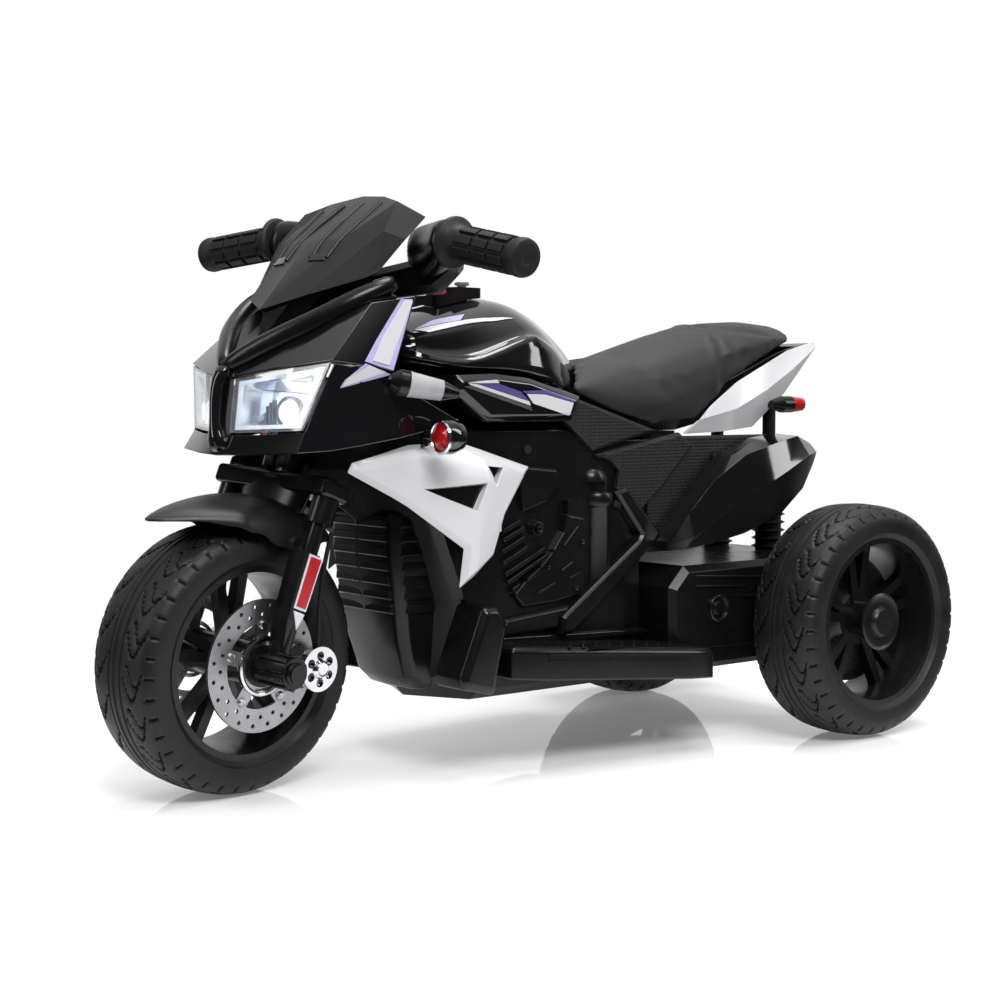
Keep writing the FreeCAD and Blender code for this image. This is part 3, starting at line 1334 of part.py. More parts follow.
case = case[0].multiFuse([case[1], foot]).cut(cavity)
case = case.cut(rod(rear_axle - lateral * housing_half, lateral, drive_sleeve + clearance, housing_half))
motor_start = case_start + case_length
motor = rod(vec(motor_centre.x, motor_start, motor_centre.z), lateral, motor_radius, motor_length)
shaft_room = motor_shaft + running_fit
motor_bore = rod(vec(motor_centre.x, motor_start - overrun, motor_centre.z), lateral, shaft_room, overrun * 3)
case_bore = rod(vec(motor_centre.x, gear_side, motor_centre.z), lateral, shaft_room, overrun * 3)
save("gearbox_case", case.cut(case_bore))
save("drive_motor", motor.cut(motor_bore))

# Battery, speaker, charging socket, rear shocks and screws
battery_floor = body_bottom + wall + battery_lift
battery_top = battery_floor + battery_height
battery = block(vec(battery_place, -battery_width / 2, battery_floor),
                vec(battery_place + battery_length, battery_width / 2, battery_top))
terminal_spot = vec(battery_place + battery_length / 4, battery_width / 4, battery_top)
terminal = rod(terminal_spot, upward, terminal_radius, terminal_height)
save("battery", battery.multiFuse(pair(terminal)))
deck = body_bottom + body_height - wall - clearance
speaker_foot = vec(speaker_place, 0, deck - speaker_depth)
speaker = Part.makeCone(speaker_radius / 2, speaker_radius, speaker_depth, speaker_foot)
save("speaker", speaker)
socket_length = socket_depth - overrun
socket_start = vec(socket_x, socket_length - body_half, socket_z)
socket = rod(socket_start, -lateral, socket_radius - running_fit, socket_length)
flange = rod(vec(socket_x, -body_half, socket_z), -lateral, socket_flange, socket_flange_thick)
jack = rod(socket_start - lateral * wall, -lateral, socket_bore, socket_depth + overrun)
save("charging_socket", socket.fuse(flange).cut(jack))

shock_x = rear_axle.x + shock_back
shock_low = housing_bottom + housing_height + clearance
shock_profile = [(0, 0), (shock_radius, 0)]
for i in range(shock_ribs):
    base = shock_rib * 2 * i + shock_rib / 2
    shock_profile += [(shock_radius, base), (shock_radius + shock_rib, base + shock_rib / 2)]
    shock_profile += [(shock_radius, base + shock_rib)]
top = shock_rib * 2 * shock_ribs
rod_top = frame_bottom + frame_height - shock_low
shock_profile += [(shock_radius, top), (shock_radius / 2, top), (shock_radius / 2, rod_top), (0, rod_top)]
shock = lathe(shock_profile, vec(shock_x, shock_half, shock_low), upward).cut(frame_room)
shock = sorted(shock.Solids, key=lambda solid: solid.BoundBox.ZMin)[0]
save("rear_shocks", pair(shock))

rear_foot = vec(rear_blinker_x, rear_blinker_out, rear_blinker_z)
rear_housing, rear_cover = make_blinker(rear_foot, -forward, rear_blinker_radius, rear_blinker_length,
                                        rear_blinker_lens, rear_blinker_lens / 4)
stalk_start = vec(rear_blinker_x - rear_blinker_length / 2, 0, rear_blinker_z)
rear_stalk = rod(stalk_start, lateral, stalk_radius, rear_blinker_out)
rear_housing = rear_housing.fuse(rear_stalk).cut(frame_room).cut(tail_solids[-1])
rear_housing = sorted(rear_housing.Solids, key=lambda solid: solid.BoundBox.YMax)[-1]
save("indicator_housings", pair(front_housing) + pair(rear_housing))
save("rear_indicator_lenses", pair(rear_cover))

screws = []
for x_share, z_share in screw_shares:
    spot = vec(body_rear + body_length * x_share, body_half, body_bottom + body_height * z_share)
    screws += pair(rod(spot, lateral, screw_radius, screw_height))
save("screws", screws)
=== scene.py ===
import bpy, bmesh, json, math
from mathutils import Matrix, Vector
from mathutils.bvhtree import BVHTree


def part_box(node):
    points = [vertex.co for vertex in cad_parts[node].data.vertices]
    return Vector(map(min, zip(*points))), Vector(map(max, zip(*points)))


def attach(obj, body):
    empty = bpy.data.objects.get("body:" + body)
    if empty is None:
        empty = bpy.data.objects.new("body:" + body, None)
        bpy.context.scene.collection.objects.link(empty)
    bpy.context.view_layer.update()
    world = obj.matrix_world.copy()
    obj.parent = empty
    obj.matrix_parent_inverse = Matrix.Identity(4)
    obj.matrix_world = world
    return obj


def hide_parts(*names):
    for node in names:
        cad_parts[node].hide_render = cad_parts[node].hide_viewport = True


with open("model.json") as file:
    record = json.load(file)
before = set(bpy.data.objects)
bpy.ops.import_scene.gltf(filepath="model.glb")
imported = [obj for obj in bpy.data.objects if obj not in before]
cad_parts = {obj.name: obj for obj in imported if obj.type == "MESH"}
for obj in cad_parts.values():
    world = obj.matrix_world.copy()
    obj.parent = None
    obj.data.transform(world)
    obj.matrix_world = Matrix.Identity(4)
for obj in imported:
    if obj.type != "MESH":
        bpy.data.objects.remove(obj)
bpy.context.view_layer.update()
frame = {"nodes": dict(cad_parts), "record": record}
cadNodes = frame["nodes"]
scene = bpy.context.scene
scene.view_settings.view_transform = "Standard"
bodyOf = {node: body for body, names in frame["record"]["behaviour"]["bodies"].items() for node in names}
slotOf = {part["node"]: part["material_slot"] for part in frame["record"]["subparts"]}
print("frame loaded:", len(cadNodes), "CAD pieces")

# the front end rests a little to the left, about the raked steering line
steering = {"rake": 21.0, "turned": 9.3, "axle": (0.297, 0.0, 0.110)}
rearAxle = {"x": -0.297, "halfTrack": 0.157, "height": 0.110}
rake = math.radians(steering["rake"])
toAxle = Matrix.Translation(steering["axle"])
steerTurn = Matrix.Rotation(math.radians(steering["turned"]), 4, Vector((-math.sin(rake), 0, math.cos(rake))))
steerTurn = toAxle @ steerTurn @ toAxle.inverted()
legFrame = toAxle @ Matrix.Rotation(-rake, 4, "Y")
wheelPlace = {
    "front": steerTurn @ toAxle,
    "left": Matrix.Translation((rearAxle["x"], rearAxle["halfTrack"], rearAxle["height"])),
    "right": Matrix.Translation((rearAxle["x"], -rearAxle["halfTrack"], rearAxle["height"])),
}

# camera and lamps
shot = {"place": (1.019, 1.258, 0.3246), "heading": 38.706, "down": 3.4455, "lens": 63.73, "sensor": 36.0, "near": 0.02}
studio = {
    "keyLamp": {"place": (0.9, 1.9, 2.1), "size": (1.3, 0.8), "power": 56.0},
    "topLamp": {"place": (-0.3, 0.1, 2.4), "size": (2.0, 0.8), "power": 40.0},
    "noseLamp": {"place": (2.3, -0.5, 1.1), "size": (0.5, 1.6), "power": 14.0},
    "tailLamp": {"place": (-1.9, 1.5, 1.5), "size": (0.5, 1.4), "power": 16.0},
}
lampAim = Vector((0, 0, 0.22))


def standing(name, data, place, direction):
    holder = bpy.data.objects.new(name, data)
    holder.location = place
    holder.rotation_euler = direction.to_track_quat("-Z", "Y").to_euler()
    scene.collection.objects.link(holder)
    return holder


heading, down = math.radians(shot["heading"]), math.radians(shot["down"])
backward = Vector((math.sin(heading) * math.cos(down), math.cos(heading) * math.cos(down), math.sin(down)))
scene.camera = standing("shotCamera", bpy.data.cameras.new("shotCamera"), shot["place"], -backward)
scene.camera.data.lens = shot["lens"]
scene.camera.data.sensor_width = shot["sensor"]
scene.camera.data.clip_start = shot["near"]
for name, lamp in studio.items():
    light = bpy.data.lights.new(name, "AREA")
    light.shape = "RECTANGLE"
    light.size, light.size_y = lamp["size"]
    light.energy = lamp["power"]
    standing(name, light, lamp["place"], lampAim - Vector(lamp["place"]))


# node helpers: a socket among the values is linked, any other value is set
def feed(tree, node, values):
    for key, value in values.items():
        if isinstance(value, bpy.types.NodeSocket):
            tree.links.new(value, node.inputs[key])
        elif isinstance(key, int) or key in node.inputs:
            node.inputs[key].default_value = value
        else:
            setattr(node, key, value)
    return node


def addNode(tree, kind, values):
    return feed(tree, tree.nodes.new("ShaderNode" + kind), values)


def calc(tree, operation, *values):
    return addNode(tree, "Math", {"operation": operation, **dict(enumerate(values))}).outputs[0]


def eased(tree, value, low, high, start=0.0, end=1.0):
    limits = {"From Min": low, "From Max": high, "To Min": start, "To Max": end}
    return addNode(tree, "MapRange", {"interpolation_type": "SMOOTHSTEP", "Value": value, **limits}).outputs["Result"]


# the sky is white to the camera, and lights the object from above and from the backdrop
sky = {
    "shown": 1.0, "near": 0.05, "above": 0.85, "aboveFrom": 0.48, "aboveTo": 0.90,
    "behind": 0.75, "behindFrom": 0.25, "behindTo": 0.60, "backdrop": (-0.625, -0.781, 0.0),
}
scene.world = bpy.data.worlds.new("studioSky")
scene.world.use_nodes = True
tree = scene.world.node_tree
rays = addNode(tree, "LightPath", {}).outputs
seen = calc(tree, "MAXIMUM", rays["Is Camera Ray"], rays["Is Transmission Ray"])
looking = addNode(tree, "TexCoord", {}).outputs["Generated"]
height = addNode(tree, "SeparateXYZ", {0: looking}).outputs["Z"]
above = eased(tree, height, sky["aboveFrom"], sky["aboveTo"], sky["near"], sky["above"])
facing = addNode(tree, "VectorMath", {"operation": "DOT_PRODUCT", 0: looking, 1: sky["backdrop"]}).outputs["Value"]
behind = eased(tree, facing, sky["behindFrom"], sky["behindTo"], 0.0, sky["behind"])
level = calc(tree, "MAXIMUM", above, behind)
strength = addNode(tree, "MapRange", {"Value": seen, "To Min": level, "To Max": sky["shown"]}).outputs["Result"]
feed(tree, tree.nodes["Background"], {"Color": (1, 1, 1, 1), "Strength": strength})

# the floor keeps the shadow near the object and clears to white; far off it is dim in reflections
floorLook = {
    "half": 6.0, "pale": (0.93, 0.93, 0.945, 1), "rough": 0.03, "gloss": 0.45, "lift": 0.16,
    "dim": (0.03, 0.03, 0.032, 1), "dimFrom": 0.38, "dimTo": 0.85, "clearFrom": 0.70, "clearTo": 1.5,
}
bm = bmesh.new()
bmesh.ops.create_grid(bm, x_segments=2, y_segments=2, size=floorLook["half"])
floorMesh = bpy.data.meshes.new("studioFloor")
bm.to_mesh(floorMesh)
bm.free()
studioFloor = bpy.data.objects.new("studioFloor", floorMesh)
scene.collection.objects.link(studioFloor)
paleFloor = bpy.data.materials.new("paleFloor")
paleFloor.use_nodes = True
tree = paleFloor.node_tree
onCamera = addNode(tree, "LightPath", {}).outputs["Is Camera Ray"]
coords = addNode(tree, "TexCoord", {}).outputs["Object"]
far = addNode(tree, "VectorMath", {"operation": "LENGTH", 0: coords}).outputs["Value"]
dimming = eased(tree, far, floorLook["dimFrom"], floorLook["dimTo"])
dimming = calc(tree, "MULTIPLY", dimming, calc(tree, "SUBTRACT", 1.0, onCamera))
mix = {"data_type": "RGBA", "Factor": dimming, "A": floorLook["pale"], "B": floorLook["dim"]}
tone = addNode(tree, "Mix", mix).outputs["Result"]
shader = feed(tree, tree.nodes["Principled BSDF"], {
    "Base Color": tone, "Roughness": floorLook["rough"], "Specular IOR Level": floorLook["gloss"],
    "Emission Color": tone, "Emission Strength": floorLook["lift"],
})
white = addNode(tree, "Emission", {"Color": (1, 1, 1, 1), "Strength": 1.0})
clear = calc(tree, "MULTIPLY", eased(tree, far, floorLook["clearFrom"], floorLook["clearTo"]), onCamera)
blend = addNode(tree, "MixShader", {"Fac": clear, 1: shader.outputs[0], 2: white.outputs[0]})
feed(tree, tree.nodes["Material Output"], {"Surface": blend.outputs[0]})
floorMesh.materials.append(paleFloor)
print("camera, lamps and floor set")

# finishes
finishes = {}


def startFinish(name, sockets):
    finishes[name] = bpy.data.materials.new(name)
    finishes[name].use_nodes = True
    tree = finishes[name].node_tree
    shader = feed(tree, tree.nodes["Principled BSDF"], sockets)
    return tree, shader, addNode(tree, "TexCoord", {}).outputs["Object"]


def noise(tree, coords, scale, detail, rough=0.5):
    values = {"Vector": coords, "Scale": scale, "Detail": detail, "Roughness": rough}
    return addNode(tree, "TexNoise", values).outputs["Fac"]


def tint(tree, source, stops):
    ramp = addNode(tree, "ValToRGB", {"Fac": source})
    while len(ramp.color_ramp.elements) < len(stops):
        ramp.color_ramp.elements.new(0.5)
    for element, (place, colour) in zip(ramp.color_ramp.elements, stops):
        element.position = place
        element.color = (*colour, 1)
    return ramp.outputs["Color"]


def spread(tree, source, low, high):
    values = {"Value": source, "From Min": 0.3, "From Max": 0.7, "To Min": low, "To Max": high}
    return addNode(tree, "MapRange", values).outputs["Result"]


def coloured(tree, shader, source, look, lightFrom=0.7):
    colour = tint(tree, source, [(0.3, look["dark"]), (lightFrom, look["light"])])
    feed(tree, shader, {"Base Color": colour, "Roughness": spread(tree, source, *look["rough"])})


def relief(tree, shader, source, strength, depth, under=None):
    bump = addNode(tree, "Bump", {"Height": source, "Strength": strength, "Distance": depth})
    if under:
        feed(tree, bump, {"Normal": under})
    feed(tree, shader, {"Normal": bump.outputs["Normal"]})
    return bump.outputs["Normal"]


# moulded plastics, rubbers and plain metals
mouldedLooks = {
    "gloss_black": {
        "dark": (0.0035, 0.0035, 0.004), "light": (0.006, 0.006, 0.007), "rough": (0.05, 0.11),
        "mottle": 9.0, "grain": 260.0, "bump": 0.04, "depth": 0.0003, "coat": 0.35,
    },
    "satin_black": {
        "dark": (0.0032, 0.0032, 0.0036), "light": (0.0062, 0.0062, 0.0068), "rough": (0.20, 0.29),
        "grain": 1500.0, "bump": 0.12, "depth": 0.0003, "shine": 0.34,
    },
    "matte_black": {
        "dark": (0.0065, 0.0065, 0.007), "light": (0.0115, 0.0113, 0.012), "rough": (0.34, 0.44),
        "grain": 1500.0, "bump": 0.2, "depth": 0.0003, "shine": 0.40,
    },
    "dotted_black": {
        "dark": (0.007, 0.007, 0.0075), "light": (0.012, 0.012, 0.013), "rough": (0.40, 0.52),
        "bump": 0.10, "dots": 330.0, "dotBump": 0.8, "dotDepth": 0.0009, "shine": 0.38,
    },
    "white": {
        "dark": (0.60, 0.60, 0.625), "light": (0.66, 0.66, 0.68), "rough": (0.18, 0.28),
        "mottle": 7.0, "grain": 300.0, "bump": 0.03, "depth": 0.0003, "coat": 0.25,
    },
    "violet": {
        "dark": (0.085, 0.065, 0.22), "light": (0.115, 0.09, 0.28), "rough": (0.22, 0.30), "mottle": 22.0, "bump": 0.04,
    },
    "lilac": {
        "dark": (0.38, 0.35, 0.62), "light": (0.46, 0.43, 0.68), "rough": (0.22, 0.30), "mottle": 22.0, "bump": 0.04,
    },
    "stripe_grey": {
        "dark": (0.055, 0.056, 0.055), "light": (0.075, 0.076, 0.075), "rough": (0.3, 0.4),
        "mottle": 40.0, "bump": 0.05,
    },
    "tyre": {
        "dark": (0.013, 0.013, 0.014), "light": (0.024, 0.024, 0.026), "rough": (0.52, 0.70),
        "mottle": 30.0, "grain": 900.0, "bump": 0.35, "depth": 0.0005,
    },
    "rim": {
        "dark": (0.004, 0.004, 0.0045), "light": (0.007, 0.007, 0.008), "rough": (0.26, 0.38),
        "grain": 700.0, "bump": 0.08, "shine": 0.38,
    },
    "grip": {
        "dark": (0.006, 0.006, 0.006), "light": (0.011, 0.011, 0.011), "rough": (0.5, 0.64), "bump": 0.2, "shine": 0.32,
    },
    "rubber_black": {
        "dark": (0.006, 0.006, 0.006), "light": (0.011, 0.011, 0.0115), "rough": (0.5, 0.66),
        "bump": 0.2, "shine": 0.32,
    },
    "hose": {
        "dark": (0.005, 0.005, 0.005), "light": (0.010, 0.010, 0.010), "rough": (0.4, 0.55), "bump": 0.12, "shine": 0.3,
    },
    "inner_plastic": {
        "dark": (0.02, 0.02, 0.022), "light": (0.035, 0.035, 0.038), "rough": (0.45, 0.6), "bump": 0.2,
    },
    "motor": {
        "dark": (0.30, 0.30, 0.31), "light": (0.42, 0.42, 0.43), "rough": (0.3, 0.42), "metal": 1.0, "bump": 0.08,
    },
    "nylon": {"dark": (0.62, 0.60, 0.54), "light": (0.72, 0.70, 0.64), "rough": (0.4, 0.55), "bump": 0.1},
    "socket": {"dark": (0.018, 0.018, 0.02), "light": (0.03, 0.03, 0.032), "rough": (0.3, 0.45), "bump": 0.1},
    "red_button": {
        "dark": (0.46, 0.015, 0.018), "light": (0.56, 0.025, 0.028), "rough": (0.2, 0.3),
        "mottle": 30.0, "bump": 0.04, "coat": 0.3,
    },
    "grey_button": {"dark": (0.10, 0.10, 0.105), "light": (0.14, 0.14, 0.147), "rough": (0.35, 0.5), "bump": 0.1},
    "chrome": {
        "dark": (0.60, 0.60, 0.62), "light": (0.74, 0.74, 0.76), "rough": (0.08, 0.18),
        "metal": 1.0, "mottle": 60.0, "grain": 500.0, "bump": 0.03,
    },
    "steel": {
        "dark": (0.38, 0.38, 0.40), "light": (0.50, 0.50, 0.52), "rough": (0.25, 0.38),
        "metal": 1.0, "mottle": 80.0, "bump": 0.06,
    },
    "dash": {
        "dark": (0.52, 0.52, 0.54), "light": (0.62, 0.62, 0.64), "rough": (0.18, 0.28),
        "metal": 0.7, "mottle": 50.0, "bump": 0.04, "coat": 0.4,
    },
    "reflect_red": {
        "dark": (0.36, 0.006, 0.010), "light": (0.48, 0.010, 0.016), "rough": (0.15, 0.25),
        "bump": 0.05, "dots": 620.0, "dotBump": 0.3, "dotDepth": 0.0004, "coat": 0.4,
    },
    "reflect_white": {
        "dark": (0.60, 0.60, 0.63), "light": (0.72, 0.72, 0.75), "rough": (0.2, 0.3),
        "bump": 0.05, "dots": 620.0, "dotBump": 0.3, "dotDepth": 0.0004,
    },
    "smoke": {
        "dark": (0.075, 0.095, 0.16), "light": (0.12, 0.15, 0.24), "rough": (0.15, 0.25),
        "mottle": 60.0, "metal": 0.4, "bump": 0.05,
    },
    "pale_chrome": {
        "dark": (0.42, 0.45, 0.52), "light": (0.62, 0.65, 0.70), "rough": (0.12, 0.24),
        "mottle": 90.0, "metal": 0.6, "bump": 0.05,
    },
}
plainMoulding = {  # what a look above leaves unsaid
    "metal": 0.0, "shine": 0.5, "coatRough": 0.05, "mottle": 16.0, "mottleRough": 0.62, "lightFrom": 0.72,
    "grain": 1100.0, "depth": 0.0004, "dotInner": 0.28, "dotOuter": 0.42,
}
for name, given in mouldedLooks.items():
    look = {**plainMoulding, **given}
    sockets = {"IOR": 1.48, "Metallic": look["metal"], "Specular IOR Level": look["shine"]}
    if "coat" in look:
        sockets.update({"Coat Weight": look["coat"], "Coat Roughness": look["coatRough"]})
    tree, shader, coords = startFinish(name, sockets)
    mottle = noise(tree, coords, look["mottle"], 5.0, look["mottleRough"])
    coloured(tree, shader, mottle, look, look["lightFrom"])
    grain = noise(tree, coords, look["grain"], 2.0)
    under = relief(tree, shader, grain, look["bump"], look["depth"])
    if "dots" in look:
        cells = addNode(tree, "TexVoronoi", {"Vector": coords, "Scale": look["dots"], "Randomness": 0.0})
        edge = {"From Min": look["dotInner"], "From Max": look["dotOuter"], "To Min": 1.0, "To Max": 0.0}
        raised = addNode(tree, "MapRange", {"Value": cells.outputs["Distance"], **edge})
        relief(tree, shader, raised.outputs["Result"], look["dotBump"], look["dotDepth"], under)

# brake disc: turned rings about the front axle
discLook = {
    "rings": 190.0, "distort": 1.2, "bump": 0.12, "depth": 0.0002, "haze": 45.0,
    "dark": (0.30, 0.30, 0.315), "light": (0.44, 0.44, 0.455), "rough": (0.30, 0.44),
}
tree, shader, coords = startFinish("disc", {"Metallic": 1.0})
centred = {"Vector": coords, "Location": steering["axle"], "Rotation": steerTurn.to_euler()}
place = addNode(tree, "Mapping", {"vector_type": "TEXTURE", **centred}).outputs["Vector"]
ringed = {"Vector": place, "Scale": discLook["rings"], "Distortion": discLook["distort"], "Detail": 3.0}
rings = addNode(tree, "TexWave", {"wave_type": "RINGS", "rings_direction": "Y", **ringed}).outputs["Fac"]
feed(tree, shader, {
    "Base Color": tint(tree, rings, [(0.1, discLook["dark"]), (0.9, discLook["light"])]),
    "Roughness": spread(tree, noise(tree, place, discLook["haze"], 4.0), *discLook["rough"]),
})
relief(tree, shader, rings, discLook["bump"], discLook["depth"])

# seat cover: leatherette cells with soft folds between them
coverLook = {
    "cells": 620.0, "warp": 180.0, "warpBy": 0.002, "foldTo": 0.16, "mottle": 13.0, "bump": 0.30, "depth": 0.0004,
    "dark": (0.009, 0.009, 0.0095), "light": (0.015, 0.015, 0.016), "rough": (0.42, 0.54),
}
sheen = {"Sheen Weight": 0.03, "Sheen Roughness": 0.5, "IOR": 1.45, "Specular IOR Level": 0.36}
tree, shader, coords = startFinish("seat", sheen)
warp = addNode(tree, "TexNoise", {"Vector": coords, "Scale": coverLook["warp"], "Detail": 3.0}).outputs["Color"]
shift = addNode(tree, "VectorMath", {"operation": "MULTIPLY_ADD", 0: warp, 1: [coverLook["warpBy"]] * 3, 2: coords})
cells = {"feature": "DISTANCE_TO_EDGE", "Vector": shift.outputs["Vector"], "Scale": coverLook["cells"]}
folds = addNode(tree, "TexVoronoi", cells).outputs["Distance"]
folds = addNode(tree, "MapRange", {"Value": folds, "From Max": coverLook["foldTo"]}).outputs["Result"]
coloured(tree, shader, noise(tree, coords, coverLook["mottle"], 5.0), coverLook)
relief(tree, shader, folds, coverLook["bump"], coverLook["depth"])

# lenses: fluted and a little hazy
fluteDepth, lensHaze = 0.0008, 30.0
lensLooks = {
    "clear_lens": {
        "clear": 0.94, "flutes": 60.0, "loose": 0.0, "bump": 0.02,
        "dark": (0.93, 0.96, 1.0), "light": (0.98, 0.99, 1.0), "rough": (0.0, 0.03),
    },
    # indicator lenses: a clear lens given a pale base, which is painted sheen
    "pearl_lens": {
        "clear": 0.35, "flutes": 260.0, "loose": 0.0, "bump": 0.25,
        "dark": (0.52, 0.53, 0.55), "light": (0.72, 0.72, 0.74), "rough": (0.06, 0.14),
    },
    "red_lens": {
        "clear": 0.45, "flutes": 170.0, "loose": 1.0, "bump": 0.5,
        "dark": (0.50, 0.006, 0.006), "light": (0.72, 0.02, 0.016), "rough": (0.05, 0.14),
    },
}
for name, look in lensLooks.items():
    glass = {"Transmission Weight": look["clear"], "IOR": 1.42, "Coat Weight": 0.3}
    tree, shader, coords = startFinish(name, glass)
    flutes = addNode(tree, "TexVoronoi", {"Vector": coords, "Scale": look["flutes"], "Randomness": look["loose"]})
    coloured(tree, shader, noise(tree, coords, lensHaze, 3.0), look)
    relief(tree, shader, flutes.outputs["Distance"], look["bump"], fluteDepth)

# lit lamps, and the reflectors around them with a faint painted glow for the lamp light they catch
glowLooks = {
    "lamp": {
        "metal": 0.0, "rough": 0.2, "glow": 1.1, "spots": 120.0,
        "dark": (0.85, 0.9, 1.0), "light": (0.95, 0.97, 1.0), "dim": (0.80, 0.90, 1.0), "bright": (1.0, 1.0, 1.0),
    },
    # the reflectors' glow is painted light from the lamps, not a lamp of their own
    "lit_chrome": {
        "metal": 0.85, "rough": 0.16, "glow": 0.06, "spots": 55.0,
        "dark": (0.62, 0.68, 0.76), "light": (0.86, 0.90, 0.95), "dim": (0.45, 0.58, 0.78), "bright": (0.86, 0.94, 1.0),
    },
}
for name, look in glowLooks.items():
    lit = {"Metallic": look["metal"], "Roughness": look["rough"], "Emission Strength": look["glow"]}
    tree, shader, coords = startFinish(name, lit)
    spots = noise(tree, coords, look["spots"], 3.0)
    feed(tree, shader, {
        "Base Color": tint(tree, spots, [(0.3, look["dark"]), (0.7, look["light"])]),
        "Emission Color": tint(tree, spots, [(0.3, look["dim"]), (0.7, look["bright"])]),
    })
print("finishes ready:", len(finishes))


# helpers for pieces
shaping = {
    "merge": 0.00001, "poleMerge": 0.00002, "flat": 1.5, "edgeSteps": 2, "edgeFrom": 28, "evenFaces": 60, "crease": 32,
}
pole = 0.00002  # a spun profile's end on its axis
dressed = {}


def mergedCopy(name):
    bm = bmesh.new()
    bm.from_mesh(cadNodes[name].data)
    bmesh.ops.remove_doubles(bm, verts=bm.verts, dist=shaping["merge"])
    bmesh.ops.dissolve_limit(bm, angle_limit=math.radians(shaping["flat"]), verts=bm.verts, edges=bm.edges)
    return bm


def keepPiece(bm, name, finish, body="chassis", slot=None, replaces=None, **look):
    mesh = bpy.data.meshes.new(name)
    bm.to_mesh(mesh)
    bm.free()
    paints = [finish] if isinstance(finish, str) else finish
    for paint in paints:
        mesh.materials.append(finishes[paint])
    mesh.shade_smooth()
    piece = bpy.data.objects.new(name, mesh)
    scene.collection.objects.link(piece)
    if "rounds" in look:
        smooth = piece.modifiers.new("rounds", "SUBSURF")
        smooth.levels = smooth.render_levels = look["rounds"]
    if "edge" in look:
        bevel = piece.modifiers.new("edge", "BEVEL")
        bevel.width = look["edge"]
        bevel.segments = look.get("edgeSteps", shaping["edgeSteps"])
        bevel.limit_method = "ANGLE"
        bevel.angle_limit = math.radians(look.get("edgeFrom", shaping["edgeFrom"]))
        flat = piece.modifiers.new("flat", "WEIGHTED_NORMAL")
        flat.weight = shaping["evenFaces"]
    elif "rounds" not in look:
        mesh.set_sharp_from_angle(angle=math.radians(look.get("crease", shaping["crease"])))
    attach(piece, body)
    if replaces:
        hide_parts(replaces)
    return piece


def standIn(bm, name, finish, **look):  # stands for the CAD node of that name
    dressed[name] = keepPiece(bm, name + "_shown", finish, bodyOf[name], slotOf[name], name, **look)


def bothSides(bm):
    everything = bm.verts[:] + bm.edges[:] + bm.faces[:]
    bmesh.ops.mirror(bm, geom=everything, matrix=Matrix(), merge_dist=shaping["poleMerge"], axis="Y")
    bmesh.ops.recalc_face_normals(bm, faces=bm.faces)


def raiseFaces(bm, faces, vec):
    grown = bmesh.ops.extrude_face_region(bm, geom=faces)["geom"]
    bmesh.ops.translate(bm, verts=[item for item in grown if isinstance(item, bmesh.types.BMVert)], vec=vec)
    return [item for item in grown if isinstance(item, bmesh.types.BMFace)]


def flatFace(bm, corners):
    return bm.faces.new([bm.verts.new(corner) for corner in corners])


def sidePoint(spot, face):  # (x, z) in millimetres on a side face
    return Vector((spot[0] / 1000, face, spot[1] / 1000))


def turnedOut(side):  # z points out of the left (1) or the right (-1)
    return Matrix.Rotation(math.radians(-90 * side), 4, "X")


def surfaceOf(name):
    return BVHTree.FromObject(dressed[name], bpy.context.evaluated_depsgraph_get())


def spun(bm, geom, axis, steps, merge, place):
    bmesh.ops.spin(bm, geom=geom, cent=(0, 0, 0), axis=axis, angle=2 * math.pi, steps=steps, use_merge=True)
    bmesh.ops.remove_doubles(bm, verts=bm.verts, dist=merge)
    bmesh.ops.recalc_face_normals(bm, faces=bm.faces)
    bm.transform(place)
    return bm


def spunRing(profile, steps, place):  # a closed profile of (radius, y), spun about y
    bm = bmesh.new()
    ring = [bm.verts.new((0, y, r)) for r, y in profile]
    edges = [bm.edges.new(pair) for pair in zip(ring, ring[1:] + ring[:1])]
    return spun(bm, ring + edges, (0, 1, 0), steps, shaping["merge"], place)


def spunCup(profile, steps, place):  # an open profile of (radius, z), spun about z
    bm = bmesh.new()
    ring = [bm.verts.new((max(r, pole), 0, z)) for r, z in profile]
    edges = [bm.edges.new(pair) for pair in zip(ring, ring[1:])]
    return spun(bm, ring + edges, (0, 0, 1), steps, shaping["poleMerge"], place)


studShape = {"top": 0.72, "rim": 0.22, "sunk": 0.18}  # shares of its radius and height


def domed(bm, place, radius, height, steps=20):  # a low stud with a sunk top
    lifted = place @ Matrix.Translation((0, 0, height / 2))
    made = bmesh.ops.create_cone(bm, cap_ends=True, segments=steps, radius1=radius, radius2=radius * studShape["top"],
                                 depth=height, matrix=lifted)["verts"]
    faces = {face for vert in made for face in vert.link_faces}
    top = max(faces, key=lambda face: (place.inverted() @ face.calc_center_median()).z)
    bmesh.ops.inset_region(bm, faces=[top], thickness=radius * studShape["rim"], depth=-height * studShape["sunk"])


def beam(bm, start, end, out, wide, tall, sink=0.001, taper=0.25):  # a tapered bar from start to end
    start, end, out = Vector(start), Vector(end), Vector(out).normalized()
    along = (end - start).normalized()
    side = out.cross(along).normalized()
    up = along.cross(side)
    middle = (start + end) / 2 + up * ((tall - sink) / 2)
    place = Matrix.Translation(middle) @ Matrix((along, side, up)).transposed().to_4x4()
    size = Matrix.Diagonal(((end - start).length, wide, tall + sink, 1))
    for vert in bmesh.ops.create_cube(bm, size=1.0, matrix=place @ size)["verts"]:
        away = vert.co - middle
        if away.dot(up) > 0:
            pulled = math.copysign(min(wide * taper * 0.5, 0.002), away.dot(along))
            vert.co -= side * away.dot(side) * taper + along * pulled


def skinned(bm, edges):  # rings joined into one closed skin
    bmesh.ops.bridge_loops(bm, edges=edges)
    bmesh.ops.holes_fill(bm, edges=bm.edges)
    bmesh.ops.recalc_face_normals(bm, faces=bm.faces)


